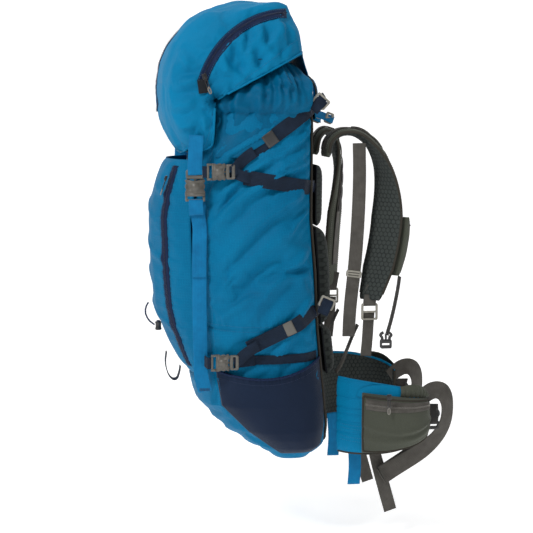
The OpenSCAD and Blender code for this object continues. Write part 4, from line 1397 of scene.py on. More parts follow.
test = buckle_socket(20, 32, ACETAL)
print("buckle socket", len(test.data.polygons), "faces")
bpy.data.objects.remove(test)

# %% [markdown]
# Four of these buckles close the side straps. The sockets are sewn to the front edge of the bag, and
# each plug slides out towards the wearer. A fold of webbing goes round the socket's bar.

# %% Side strap buckles
SIDE_WEB, LID_WEB, WEB_THICK = 20, 25, 1.8
side_buckles = {"upper": (-155, -213), "lower": (-150, -547)}


def buckle_seat(x, z):
    return float(side_y(x + 12, z)) + BUCKLE_THICK / 2 + 3.5


for side, where in ((RIGHT, "right"), (LEFT, "left")):
    for level, (x, z) in side_buckles.items():
        y = side * buckle_seat(x, z)
        socket = place(buckle_socket(SIDE_WEB, 32, ACETAL), (x, y, z), 0, side == LEFT)
        tab = [(x - 28, y, z), (x - 33, y, z), (x - 39, y - side * 4, z), side_of_bag(x - 50, z, side, 1.4),
            side_of_bag(x - 58, z, side, 1.2)]
        if x - 58 < -208:
            tab = [(x - 28, y, z), (x - 33, y, z), (x - 40, y - side * 5, z), (x - 44, y - side * 14, z)]
        sewn = join("side_socket_" + level + "_" + where,
            [socket, band("tab", tab, [0, 0, 1], SIDE_WEB, WEB_THICK, NAVY_WEBBING)])
        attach(sewn, "pack")
        if level == "upper" and side == RIGHT:
            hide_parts("compression_sockets")
        plug = place(buckle_plug(SIDE_WEB, 32, ACETAL), (x, y + side * 0.6, z), 0, side == LEFT)
        if level == "upper":
            over = [(9, 0), (17, 5), (27, 15), (40, 26), (52, 34)]
            under = [(9, 0), (18, -3), (30, -8), (46, -12)]
        else:
            over = [(9, 0), (17, 4), (27, 14), (40, 24), (52, 30)]
            under = [(9, 0), (20, 0), (32, 1), (46, 2)]
        loop = [(x + dx, side_of_bag(x + dx, z + dz, side, 7.8)[1] if dx > 24 else y + side * 2.0,
            z + dz) for dx, dz in over]
        fold = [(x + dx, side_of_bag(x + dx, z + dz, side, 6.2)[1] if dx > 24 else y - side * 2.0,
            z + dz) for dx, dz in under]
        lean = np.array([[0, 0, 1], [-0.3, 0, 1], [-0.6, 0, 0.8], [-0.6, 0, 0.8], [-0.55, 0, 0.83]])
        webs = [band("over", loop, lean, SIDE_WEB, WEB_THICK, NAVY_WEBBING),
                band("under", fold, [0.1, 0, 1], SIDE_WEB * 0.95, WEB_THICK, NAVY_WEBBING)]
        made = join("side_plug_" + level + "_" + where, [plug, *webs])
        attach(made, "plug_" + level + "_" + where)
        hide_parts("plug_" + level + "_" + where)
print("eight buckle halves on the sides")

# %% [markdown]
# Each side strap runs over the cloth from its buckle to the back edge. It is drawn on the settled
# cloth, a little above it, and pulled straight between its ends, so it bridges small dips as tight
# webbing does.

# %% Straps across the sides
def on_side(p0, p1, side, lift, count=24):
    t = np.linspace(0, 1, count)
    points = np.array([side_of_bag(mix(p0[0], p1[0], k), mix(p0[1], p1[1], k), side, lift) for k in t])
    away = points[:, 1] * side
    for _ in range(60):
        lifted = (np.roll(away, 1) + np.roll(away, -1)) / 2
        away[1:-1] = np.maximum(away[1:-1], lifted[1:-1])
    points[:, 1] = away * side
    return points


LEG_WIDTH = 26


def leg(p0, p1, side, width, lift):
    line = on_side(p0, p1, side, lift)
    d = Vector((p1[0] - p0[0], 0, p1[1] - p0[1])).normalized()
    return band("leg", line, [-d.z, 0, d.x], width, WEB_THICK, NAVY_WEBBING)


for side, where in ((RIGHT, "right"), (LEFT, "left")):
    upper = [leg((-119, -188), (14, -95), side, LEG_WIDTH, 4.4),
        leg((-122, -223), (12, -246), side, LEG_WIDTH, 1.6)]
    lower = [leg((-116, -523), (20, -458), side, LEG_WIDTH, 2.6),
        leg((-116, -545), (12, -545), side, SIDE_WEB * 0.8, 1.4)]
    stop = on_side((-84, -164), (-66, -151), side, 7.2)
    keeper = band("keeper", stop, [-0.55, 0, 0.83], SIDE_WEB + 4, 3.2, ACETAL_DARK)
    stop = on_side((-52, -492), (-36, -484), side, 5.2)
    keeper_low = band("keeper", stop, [-0.4, 0, 0.9], SIDE_WEB + 4, 3.0, ACETAL)
    straps = join("side_straps_" + where, upper + lower + [keeper, keeper_low])
    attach(straps, "pack")
    if side == RIGHT:
        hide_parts("compression_straps")
print("side straps made")

# %% [markdown]
# The upper strap ends in a ladderlock on a webbing stub above the back panel, and the lower one in a
# ladderlock at the back edge. Their tails hang a little past the lock.

# %% Ladderlocks behind the straps
def lock_set(at, tilt, side, name, replaced=None):
    x, y, z = at[0], side * at[1], at[2]
    lock = place(ladderlock(SIDE_WEB + 8, 20, BRIGHT), (x, y, z), tilt, side == LEFT)
    d = (math.cos(math.radians(tilt)), -math.sin(math.radians(tilt)))
    n = (math.sin(math.radians(tilt)), math.cos(math.radians(tilt)))
    stub = [(x + n[0] * 22 - 6, y - side * 2, z + n[1] * 22 - 12),
        (x + n[0] * 9, y - side * 1.6, z + n[1] * 9),
            (x + n[0] * 2, y + side * 2.2, z + n[1] * 2), (x - n[0] * 8, y + side * 2.6, z - n[1] * 8),
                (x - n[0] * 22, y + side * 1.0, z - n[1] * 22)]
    web = band("stub", stub, [d[0], 0, d[1]], SIDE_WEB, WEB_THICK, NAVY_WEBBING)
    made = join(name, [lock, web])
    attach(made, "pack")
    if replaced:
        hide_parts(replaced)


for side, where in ((RIGHT, "right"), (LEFT, "left")):
    lock_set((20, 124, -92), 42, side, "upper_ladderlock_" + where,
        "compression_ladderlocks" if side == RIGHT else None)
    lock_set((30, 138, -450), 24, side, "lower_ladderlock_" + where)
print("ladderlocks made")

# %% [markdown]
# A long strap runs down each front corner from the lid's buckle and is sewn in low down. Its upper
# part hangs free between the buckle and the bag, so it keeps the CAD model's slight bow.

# %% Lid straps and their buckles
LID_BUCKLE = (-207, -160, -226)
for side, where in ((RIGHT, "right"), (LEFT, "left")):
    line = []
    for v in np.linspace(0, 1, 16):
        bow = math.sin(math.pi * v)
        line.append((-197 - 3 * bow - (3 if v > 0.9 else 0), side * (149 + 4 * bow), mix(-592, -268, v)))
    line[0] = (-190, side * 142, -604)
    doubled = [(x - 0.5, y + side * 2.4, z) for x, y, z in line[9:]]
    strap = join("lid_strap_" + where, [band("web", line, [1, 0, 0], LID_WEB, WEB_THICK, BLUE_WEBBING),
                                        band("tail", doubled, [1, 0, 0], LID_WEB, WEB_THICK, BLUE_WEBBING)])
    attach(strap, "pack")
    if side == RIGHT:
        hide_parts("lid_strap_webbing")
    at = (LID_BUCKLE[0], -side * LID_BUCKLE[1], LID_BUCKLE[2])
    socket = place(buckle_socket(LID_WEB, 38, ACETAL), at, -90, side == LEFT)
    turn = [(at[0] + 1, at[1] - side * 3.4, at[2] - 44), (at[0] + 1, at[1] - side * 3.0, at[2] - 36),
        (at[0] + 1, at[1] + side * 2.8, at[2] - 35), (at[0] + 1.5, at[1] + side * 1.0, at[2] - 46),
            (at[0] + 2.5, at[1] - side * 3.4, at[2] - 62)]
    loop = band("loop", turn, [1, 0, 0], LID_WEB, WEB_THICK, BLUE_WEBBING)
    held = join("lid_socket_piece_" + where, [socket, loop])
    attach(held, "lid_socket_" + where)
    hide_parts("lid_socket_" + where)
    plug = place(buckle_plug(LID_WEB, 38, ACETAL), at, -90, side == LEFT)
    tab = [(at[0], at[1] + side * 2.6, at[2] + 8), (at[0], at[1] + side * 2.6, at[2] + 22),
        (at[0] + 1, at[1] + side * 1.0, at[2] + 48), (at[0] + 3, at[1] - side * 0.5, at[2] + 76)]
    under = [(at[0], at[1] - side * 2.4, at[2] + 8), (at[0], at[1] - side * 2.2, at[2] + 20),
        (at[0] + 1, at[1] - side * 1.0, at[2] + 46)]
    webs = [band("tab", tab, [1, 0, 0], LID_WEB, WEB_THICK, BLUE_WEBBING),
        band("under", under, [1, 0, 0], LID_WEB, WEB_THICK, BLUE_WEBBING)]
    hung = join("lid_plug_" + where, [plug, *webs])
    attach(hung, "lid")
    if side == RIGHT:
        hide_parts("lid_plugs", "lid_tabs")
print("lid straps and buckles made")

# %% [markdown]
# The haul loop is one piece of doubled webbing that stands up behind the collar, and the padded grab
# loop below it is sewn round a soft core. Both carry the whole pack.

# %% Haul loop and grab loop
arc = [(2, 14.5 * math.cos(t), -16 + 14.5 * math.sin(t)) for t in np.linspace(0, math.pi, 15)]
path = [(2, 14.5, z) for z in (-91, -70, -45, -28)] + arc + [(2, -14.5, z) for z in (-28, -45, -70, -91)]
haul = band("haul_loop_webbing", path, [1, 0, 0], 8, 2.9, NAVY_WEBBING)
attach(haul, "pack")
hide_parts("haul_loop")
grab_line = [(24, -118), (25, -106), (29, -94), (32, -80), (30, -66), (25, -55), (18, -47), (13, -45)]
core = tube("core", [(x, 0, z) for x, z in grab_line[2:7]],
    np.interp(np.linspace(0, 1, 40), [0, 0.2, 0.8, 1], [1.5, 4.6, 4.6, 1.5]), BLUE_WEBBING, 12, 40)
grab = join("grab_loop", [band("web", [(x, 0, z) for x, z in grab_line], [0, 1, 0], 26, 3.0, GREY_WEBBING),
    core])
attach(grab, "pack")
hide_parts("grab_handle")
print("loops made")

# %% [markdown]
# Load lifters are short straps from the back panel to the shoulder pads. The ice axe loop is a turn
# of webbing at the foot of the front, doubled where it is sewn.

# %% Load lifters and the ice axe loop
for side, where in ((RIGHT, "right"), (LEFT, "left")):
    line = [(21, side * 60, -113), (38, side * 62, -119), (54, side * 64, -126)]
    parts = [band("web", line, [0.25, 0.75, 0.6], 20, WEB_THICK, BLUE_WEBBING)]
    parts.append(place(ladderlock(16, 20, BRIGHT, 3.2), (46, side * 62, -122), 20, side == LEFT, 25))
    lifter = join("load_lifter_" + where, parts)
    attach(lifter, "pack")
    if side == RIGHT:
        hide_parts("load_lifters")
axe_line = [(-248, -560), (-250, -580), (-246, -600), (-238, -612), (-229, -612), (-224, -600),
    (-222, -588)]
axe = band("ice_axe_webbing", [(x, 20, z) for x, z in axe_line], [0, 1, 0], 20, WEB_THICK, NAVY_WEBBING)
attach(axe, "pack")
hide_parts("ice_axe_loop")
print("lifters and axe loop made")

# %% [markdown]
# The parts that touch the wearer are foam under a spacer mesh knitted in hexagonal cells. A regular
# relief like this follows a rule, so it is computed: each point looks for the nearest cell centre on
# two offset grids, and its height falls towards the cell's edge. The cells are drawn 9 mm wide.

# %% Honeycomb relief
CELL = 9.0


def honeycomb(a, b, size=CELL):
    x, y = np.asarray(a, float) / size, np.asarray(b, float) / size
    rise = math.sqrt(3)
    best = None
    for shift in (0.0, 0.5):
        dx = np.abs((x + shift + 0.5) % 1 - 0.5)
        dy = np.abs((y / rise + shift + 0.5) % 1 - 0.5) * rise
        far = np.maximum(dx, dx / 2 + dy * rise / 2)
        best = far if best is None else np.minimum(best, far)
    return np.clip((0.5 - best) * 5.0, 0, 1) ** 0.7


def pad_of(name, outer, inner, mat, side_mat, groove_shade=None):
    """A closed pad between an outer and an inner grid, with its relief kept as an attribute for painted shade in
    the grooves.
    """
    nu, nv = outer.shape[:2]
    verts = np.concatenate([outer.reshape(-1, 3), inner.reshape(-1, 3)])
    n = nu * nv
    front, back = cell_ids(nu, nv), cell_ids(nu, nv, n)[:, ::-1]
    rims = []
    for i0, step, count in ((0, 1, nv), ((nu - 1) * nv, 1, nv), (0, nv, nu), (nv - 1, nv, nu)):
        a = i0 + step * np.arange(count - 1)
        rims.append(np.stack([a, a + step, a + step + n, a + n], axis=-1))
    rims = [rims[0], rims[1][:, ::-1], rims[2][:, ::-1], rims[3]]
    uv = np.stack([lengths(outer, 0).reshape(-1), lengths(outer, 1).reshape(-1)], axis=-1)
    made = mesh_of(name, verts, np.concatenate([front, back, *rims]), np.concatenate([uv, uv]), mat)
    made.data.materials.append(side_mat)
    slots = np.ones(len(made.data.polygons), int)
    slots[:len(front)] = 0
    made.data.polygons.foreach_set("material_index", slots)
    # The relief is stored for the painted shade in the grooves; the other faces get none.
    store = made.data.attributes.new("groove_shade", "FLOAT", "POINT")
    value = np.concatenate([groove_shade.reshape(-1), np.ones(n)]) if groove_shade is not None else np.ones(2 * n)
    store.data.foreach_set("value", value.astype(np.float32))
    return made


print("share of the mesh that is groove:",
    round(float((honeycomb(*np.mgrid[0:90:1.0, 0:90:1.0]) < 0.3).mean()), 2))

# %% [markdown]
# Three cushions lie on the back panel: one in the hollow of the back, one at the loins and the yoke
# between the shoulder straps. Each is crowned and pulls in at its edges where it is sewn down, and a
# channel runs down the middle of each to let air through.

# %% Back, loin and yoke cushions
def back_cushion(name, low, high, half, thick, node_name):
    y, z = np.meshgrid(np.linspace(-1, 1, 100), np.linspace(low, high, max(60, int((high - low) / 1.7))),
        indexing="ij")
    y = y * half
    across = np.clip(1 - np.abs(y / half) ** 5, 0, 1) ** 0.5
    along = np.clip(1 - np.abs((2 * z - low - high) / (high - low)) ** 6, 0, 1) ** 0.5
    cells = honeycomb(y, z)
    channel = 5.0 * np.exp(-(y / 9) ** 2) * along
    inset = half * (1 - 0.04 * np.abs(np.sin(np.pi * (z - low) / (high - low))) * 0.6)
    crown = across * along
    base = look(z, BAG_BACK) + 2.2
    x = base + (thick - 3.5) * (0.12 + 0.88 * crown) - channel * crown + 1.1 * cells * crown
    outer = np.stack([x, y * inset / half, z], axis=-1)
    inner = np.stack([base - 0.4, y, z], axis=-1)
    made = pad_of(name, outer, inner, PAD_MESH, BLACK_CLOTH, cells)
    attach(made, "pack")
    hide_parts(node_name)
    return made


back_cushion("back_cushion", -500, -322, 64, 30, "back_pad")
back_cushion("loin_cushion", -590, -506, 78, 26, "lumbar_pad")
back_cushion("yoke_cushion", -316, -206, 84, 20, "shoulder_yoke")
print("three cushions")

# %% [markdown]
# Each shoulder strap is a curved foam pad. Its route goes up from the yoke, over the shoulder and down
# in front. Lower down, the pad turns edge-on to the wearer. Its inner face is honeycomb mesh, its outer
# face stretch weave, and a tape binds the edge all round.

# %% The shoulder pads
RIGHT_ROUTE = [(40, -62, -192), (46, -64, -164), (66, -68, -148), (96, -74, -150), (122, -82, -172),
    (140, -90, -208),
               (147, -98, -252), (146, -104, -300), (139, -108, -350), (127, -110, -402), (114, -110, -450)]
LEFT_ROUTE = [(40, 62, -192), (46, 66, -162), (60, 76, -148), (76, 86, -152), (88, 96, -176),
    (94, 104, -212),
              (94, 108, -256), (91, 112, -306), (88, 116, -356), (86, 118, -406), (86, 118, -452)]
PAD_WIDTH, PAD_THICK = 62, 13


def pad_frame(route, most, count):
    """Centre line, width direction and inward normal of a pad, at equal steps."""
    line = smooth_line(route, count)
    u = np.linspace(0, 1, count)
    turn = np.radians(most * np.clip((u - 0.28) / 0.34, 0, 1))
    across = np.stack([np.sin(turn), -np.cos(turn), np.zeros(count)], axis=-1)
    ahead = unit(np.gradient(line, axis=0))
    normal = unit(np.cross(ahead, across))
    return line, across, normal, u


def shoulder_pad(route, most):
    line, across, normal, u = pad_frame(route, most, 300)
    v = np.linspace(-0.5, 0.5, 54)
    taper = np.where(u > 0.85, 1 - 2 * (u - 0.85), 1.0)
    ends = np.clip(1 - (np.clip(np.abs(u - 0.5) - 0.47, 0, 1) / 0.031) ** 2.4, 0.04, 1) ** 0.5
    width = PAD_WIDTH * taper * (0.86 + 0.14 * ends)
    edge = np.clip(1 - np.abs(2 * v) ** 4, 0.0, 1) ** 0.5
    full = ends[:, None] * edge[None]
    run = np.concatenate([[0], np.cumsum(np.linalg.norm(np.diff(line, axis=0), axis=1))])
    cells = honeycomb(v[None] * width[:, None], run[:, None] + 0 * v[None])
    flat = line[:, None] + across[:, None] * (v[None] * width[:, None])[:, :, None]
    crown = (0.22 + 0.78 * full) * PAD_THICK / 2
    inner_face = flat + normal[:, None] * (crown + 1.0 * cells * full - 0.6)[:, :, None]
    swell = crown + 0.3 * ripple(run[:, None], v[None] * 60, 40, 61) * full
    outer_face = flat - normal[:, None] * swell[:, :, None]
    return inner_face, outer_face, cells, line, across, normal, width


def webbing_on_pad(line, across, normal, first, last, lift, width, mat, shift=0.0, tacks=0.0):
    pick = slice(int(first * 300), int(last * 300), 3)
    run = np.arange(len(line[pick])) * 1.0
    away = lift + tacks * np.abs(np.sin(run * 0.42)) ** 0.5
    path = line[pick] - normal[pick] * (PAD_THICK / 2 + away)[:,
        None] if np.ndim(away) else line[pick] - normal[pick] * (PAD_THICK / 2 + away)
    return band("web", path + across[pick] * shift, across[pick], width, WEB_THICK, mat, len(path) * 3)


shoulder_lines = {}
for side, where, route, most in ((RIGHT, "right", RIGHT_ROUTE, 45), (LEFT, "left", LEFT_ROUTE, -32)):
    inner_face, outer_face, cells, line, across, normal, width = shoulder_pad(route, most)
    shoulder_lines[where] = (line, across, normal, width)
    body = pad_of("foam", inner_face, outer_face, PAD_MESH, GREY_STRETCH, cells)
    face_out(body)
    edge_paths = [flat_edge for flat_edge in (line + across * (width * 0.495)[:, None],
        line - across * (width * 0.495)[:, None])]
    edge_tape = [tube("tape", path[6:-6:4], 2.5, GREY_BINDING, 8, 150) for path in edge_paths]
    outer_web = webbing_on_pad(line, across, normal, 0.03, 0.9, 1.2, 25, GREY_WEBBING)
    daisy = webbing_on_pad(line, across, normal, 0.18, 0.62, 2.6, 18, DARK_WEBBING, 0.0, 1.6)
    pad = join("shoulder_cushion_" + where, [body, *edge_tape, outer_web, daisy])
    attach(pad, "shoulder_" + where)
    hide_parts("shoulder_pad_" + where)

# %% [markdown]
# A ladderlock hangs at the foot of each shoulder pad. The strap from the pack's lower corner passes
# through it, and its spare end hangs straight down.

# %% Adjusters and their webbing
for side, where, route in ((RIGHT, "right", RIGHT_ROUTE), (LEFT, "left", LEFT_ROUTE)):
    x, y, z = route[-1]
    lock = place(ladderlock(30, 30, BRIGHT), (x, y, z - 22), 0, side == LEFT)
    hold = [(x + 6, y - side * 1.0, z + 26), (x + 2, y - side * 4.5, z + 8), (x, y - side * 3.4, z - 6),
        (x, y + side * 0.4, z - 11),
            (x, y + side * 3.4, z - 6), (x + 1, y + side * 3.6, z + 10)]
    tail = [(x, y - side * 3.0, z - 24), (x - 1, y - side * 3.4, z - 40), (x - 3, y - side * 2, z - 70),
        (x - 6, y - side * 1, z - 104)]
    made = join("shoulder_lock_" + where,
        [lock, band("hold", hold, [1, 0, 0], 22, WEB_THICK, GREY_WEBBING),
            band("tail", tail, [1, 0, 0], 20, WEB_THICK, GREY_WEBBING)])
    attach(made, "shoulder_" + where)
    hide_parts("shoulder_adjuster_" + where)
    low = [(56, side * 92, -586), (66, side * 92, -570), (78, side * 92, -540), (88, side * 92, -515),
        (96, side * 92, -498)]
    anchor = band("lower_strap_" + where, low, [0, 1, 0], 20, WEB_THICK, GREY_WEBBING)
    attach(anchor, "pack")
    if side == RIGHT:
        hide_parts("lower_shoulder_webbing")
hang = [(92, -112, -166), (93, -112, -230), (91, -112, -300), (86, -112, -380), (78, -112, -460),
    (75, -112, -516)]
twist = np.array([[1, 0.05, 0], [1, 0.1, 0], [1, -0.08, 0], [1, -0.15, 0.05], [1, 0.1, 0.1], [1, 0.2, 0.1]])
lifter_end = join("load_lifter_tail", [band("web", hang, twist, 24, WEB_THICK, GREY_WEBBING),
                                       place(ladderlock(28, 12, BRIGHT, 3.6), (84, -112, -402), 8)])
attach(lifter_end, "shoulder_right")
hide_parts("lifter_tail")
print("adjusters and tails")

# %% [markdown]
# A small pouch of stretch weave sits on the outer face of the right pad. Its bellows side stands off
# the pad, a bound flap closes it, and the front bulges.

# %% The shoulder pouch
def pouch_points():
    line, across, normal, width = shoulder_lines["right"]
    u, v = np.meshgrid(np.linspace(0, 1, 70), np.linspace(-1, 1, 50), indexing="ij")
    index = mix(0.62, 0.88, u) * 299
    centre = np.stack([np.interp(index, np.arange(300), line[:, k]) for k in range(3)], axis=-1)
    side_dir = np.stack([np.interp(index, np.arange(300), across[:, k]) for k in range(3)], axis=-1)
    out_dir = -np.stack([np.interp(index, np.arange(300), normal[:, k]) for k in range(3)], axis=-1)
    box_u = np.clip(1 - np.abs(2 * u - 1) ** 7, 0, 1) ** 0.4
    box_v = np.clip(1 - np.abs(v) ** 7, 0, 1) ** 0.4
    bulge = 17 * box_u * box_v * (0.72 + 0.28 * np.sin(math.pi * u)) + 0.8 * ripple(u * 90, v * 30, 24,
        71) * box_u * box_v
    spread = 24.5 - 2.0 * box_u
    centre = centre + side_dir * 17 + out_dir * 1.0
    outer = centre + side_dir * (v * spread)[:, :, None] + out_dir * (PAD_THICK / 2 + 1.5 + bulge)[:, :,
        None]
    inner = centre + side_dir * (v * spread)[:, :, None] + out_dir * (PAD_THICK / 2 + 0.9)
    return outer, inner


pouch_outer, pouch_inner = pouch_points()
pouch_body = pad_of("pouch", pouch_outer, pouch_inner, GREY_STRETCH, GREY_STRETCH)
face_out(pouch_body)
flap_line = pouch_outer[9, 3:-3]
flap = tube("flap", flap_line, 2.0, GREY_BINDING, 8, 60)
lip = [tube("lip", pouch_outer[4:-4, k], 1.6, GREY_BINDING, 8, 60) for k in (5, -6)]
pouch = join("shoulder_pouch_cloth", [pouch_body, flap, *lip])
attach(pouch, "shoulder_right")
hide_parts("shoulder_pouch")
print("pouch", len(pouch.data.polygons), "faces")

# %% [markdown]
# The sternum strap's two halves hang from sliders on the pads and end in the two parts of a small
# buckle. The webbing is dark and 20 mm wide.

# %% Sternum strap halves
def sternum(at, side, where):
    x, y, z = at
    path = [(x, y, z + 8), (x - 4, y, z - 20), (x - 12, y, z - 60), (x - 22, y, z - 98)]
    web = band("web", path, [0, 1, 0], 20, WEB_THICK, DARK_WEBBING)
    end = place(buckle_plug(15, 24, ACETAL_DARK) if side == RIGHT else buckle_socket(15, 24, ACETAL_DARK),
        (x - 24, y, z - 106 if side == RIGHT else z - 122), 90, False, 0)
    made = join("sternum_half_" + where, [web, end])
    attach(made, "sternum_strap_" + where)
    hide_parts("sternum_strap_" + where)


sternum((162, -140, -412), RIGHT, "right")
sternum((104, 166, -400), LEFT, "left")
print("sternum strap halves")

# %% [markdown]
# The hip belt's wings are firm foam that wraps round the hips. Seen from above, each follows a plan of
# its centre line, and its height falls towards the tip. The outer face is blue cloth with stitched
# pleats near the pack, and the inner face is honeycomb mesh.

# %% The belt's wings
WING_PLAN = [(58, -110), (78, -134), (104, -150), (134, -158), (164, -158), (190, -148), (208, -130),
    (216, -112)]
WING_THICK = 12


def wing_frame(u, v):
    plan = smooth_line(WING_PLAN, 200)
    turn = unit(np.gradient(plan, axis=0))
    at = u * 199
    p = np.stack([np.interp(at, np.arange(200), plan[:, k]) for k in range(2)], axis=-1)
    t = np.stack([np.interp(at, np.arange(200), turn[:, k]) for k in range(2)], axis=-1)
    top = mix(-592, -626, u * u)
    low = mix(-728, -720, u) + 42 * u ** 4
    run = np.linalg.norm(np.diff(plan, axis=0), axis=1).sum()
    normal = np.stack([t[..., 1], -t[..., 0], 0 * u], axis=-1)
    return np.stack([p[..., 0], p[..., 1], mix(low, top, v)], axis=-1), normal, run, mix(low, top, v)


def wing_grids():
    u, v = np.meshgrid(np.linspace(0, 1, 130), np.linspace(0, 1, 96), indexing="ij")
    centre, normal, run, z = wing_frame(u, v)
    edge = np.clip(1 - np.abs(2 * v - 1) ** 6, 0,
        1) ** 0.5 * np.clip(1 - np.clip((u - 0.93) / 0.07, 0, 1) ** 2.5, 0, 1) ** 0.5
    crown = (0.2 + 0.8 * edge) * WING_THICK / 2
    pleats = 0
    for height in (-625, -645, -656, -670, -690):
        pleats = pleats + 1.9 * np.exp(-((z - height) / 1.8) ** 2) * (u < 0.36)
    swell = 0.5 * ripple(u * run, z, 50, 81) * edge
    outer = centre + normal * (crown - pleats * edge + swell)[:, :, None]
    cells = honeycomb(u * run, z)
    inner = centre - normal * (crown + (1.0 * cells - 0.6) * edge)[:, :, None]
    return outer, inner, cells, u, v


wing_outer, wing_inner, wing_cells, wing_u, wing_v = wing_grids()
for side, where in ((RIGHT, "right"), (LEFT, "left")):
    flip = (1, side * -1, 1)
    foam = pad_of("foam", wing_inner * flip, wing_outer * flip, PAD_MESH, BLUE_PLAIN, wing_cells)
    face_out(foam)
    edges = [tube("edge", (wing_outer[:, k] * 0.5 + wing_inner[:, k] * 0.5)[::5] * flip, 3.0, m, 8, 90)
             for k, m in ((0, GREY_BINDING), (-1, BLUE_PLAIN))]
    edges.append(tube("edge", (wing_outer[-1] * 0.5 + wing_inner[-1] * 0.5)[::6] * flip, 2.6, GREY_BINDING,
        8, 40))
    wing = join("belt_foam_" + where, [foam, *edges])
    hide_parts("belt_wing_" + where)
    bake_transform(wing)
print("belt wings")

# %% [markdown]
# A second layer of blue cloth covers the wing's upper edge, and the foam's ribbed tip curls above the
# pocket.

# %% The belt's upper layer and ribbed tip
for side, where in ((RIGHT, "right"), (LEFT, "left")):
    flip = (1, side * -1, 1)
    u, v = np.meshgrid(np.linspace(0.22, 0.82, 80), np.linspace(0, 1, 20), indexing="ij")
    centre, normal, run, z = wing_frame(u, 0.80 + 0.22 * v * np.sin(math.pi * (u - 0.22) / 0.6) ** 0.4)
    shade = cloth("layer", (centre + normal * (WING_THICK / 2 + 1.6 + 0.7 * np.sin(v * math.pi))[:, :,
        None]) * flip, BLUE_PLAIN, 1.0)
    face_out(shade)
    u, v = np.meshgrid(np.linspace(0.60, 0.94, 90), np.linspace(0, 1, 26), indexing="ij")
    centre, normal, run, z = wing_frame(u, 0.86 + 0.17 * v)
    ribs = 1.6 * np.abs(np.sin(u * run / 9.0 * math.pi))
    lift = WING_THICK / 2 + 1.4 + ribs * np.sin(math.pi * v) ** 0.5 + 3.5 * np.sin(math.pi * v)
    tip = cloth("tip", (centre + normal * lift[:, :,
        None] + np.array((0, 0, 1)) * (9 * v * np.sin(math.pi * (u - 0.60) / 0.34))[:, :, None]) * flip,
            GREY_STRETCH, 1.4)
    face_out(tip)
    layer = join("belt_layers_" + where, [shade, tip])
    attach(layer, "belt_" + where)
print("belt layers")

# %% [markdown]
# The belt pocket is stretch weave over a bound edge. Its zip is pale and runs along the top, and the
# face sags in two long folds. The bulge is greatest in the middle.

# %% Belt pockets
def belt_pocket_grids():
    u, v = np.meshgrid(np.linspace(0, 1, 110), np.linspace(0, 1, 70), indexing="ij")
    centre, normal, run, z = wing_frame(mix(0.27, 0.90, u), mix(0.02, 0.87, v))
    box_u = np.clip(1 - np.abs(2 * u - 1) ** 8, 0, 1) ** 0.45
    box_v = np.clip(1 - np.abs(2 * v - 1) ** 8, 0, 1) ** 0.45
    bulge = 8 + 20 * np.sin(math.pi * mix(0.08, 0.92, u)) * (0.5 + 0.5 * np.sin(math.pi * v))
    sag = 2.6 * np.exp(-((v - 0.52 + 0.14 * np.sin(math.pi * u)) / 0.05) ** 2) - 1.8 * np.exp(-((v - 0.44 + 0.14 * np.sin(math.pi * u)) / 0.04) ** 2)
    sag = sag + 1.8 * np.exp(-((v - 0.30 + 0.10 * np.sin(math.pi * u)) / 0.05) ** 2) + 0.7 * ripple(u * 110,
        v * 80, 30, 91)
    out = bulge * box_u * box_v + sag * box_u * box_v
    outer = centre + normal * (WING_THICK / 2 + 2.0 + out)[:, :, None]
    inner = centre + normal * (WING_THICK / 2 + 1.2)
    return outer, inner, normal


pocket_outer, pocket_inner, pocket_normal = belt_pocket_grids()
for side, where in ((RIGHT, "right"), (LEFT, "left")):
    flip = (1, side * -1, 1)
    shell = pad_of("pocket", pocket_outer * flip, pocket_inner * flip, GREY_STRETCH, GREY_STRETCH)
    face_out(shell)
    rim = np.concatenate([pocket_outer[4:-4, 3], pocket_outer[-5, 4:-4], pocket_outer[4:-4, -4][::-1],
        pocket_outer[4, 4:-4][::-1]])
    binding = tube("binding", rim[::3] * flip, 2.0, GREY_BINDING, 8, 220)
    tape = []
    for k, lift in ((52, 0.8), (54, 1.3), (56, 1.4), (58, 0.9), (60, 1.4), (62, 1.3), (64, 0.8)):
        tape.append(pocket_outer[8:-8, k] + pocket_normal[8:-8, k] * lift)
    zip_tape = cloth("zip", np.array(tape).transpose(1, 0, 2) * flip, GREY_WEBBING, 0.8)
    face_out(zip_tape)
    made = join("belt_pocket_cloth_" + where, [shell, binding, zip_tape])
    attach(made, "belt_" + where)
    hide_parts("belt_pocket_" + where)
print("belt pockets")

# %% [markdown]
# The belt's own strap leaves the tip of the wing, passes through its buckle half and comes back down
# towards the pack, so it hangs in a wide curve with its end folded over. Two thinner tails hang under
# the wing, one grey and one blue.

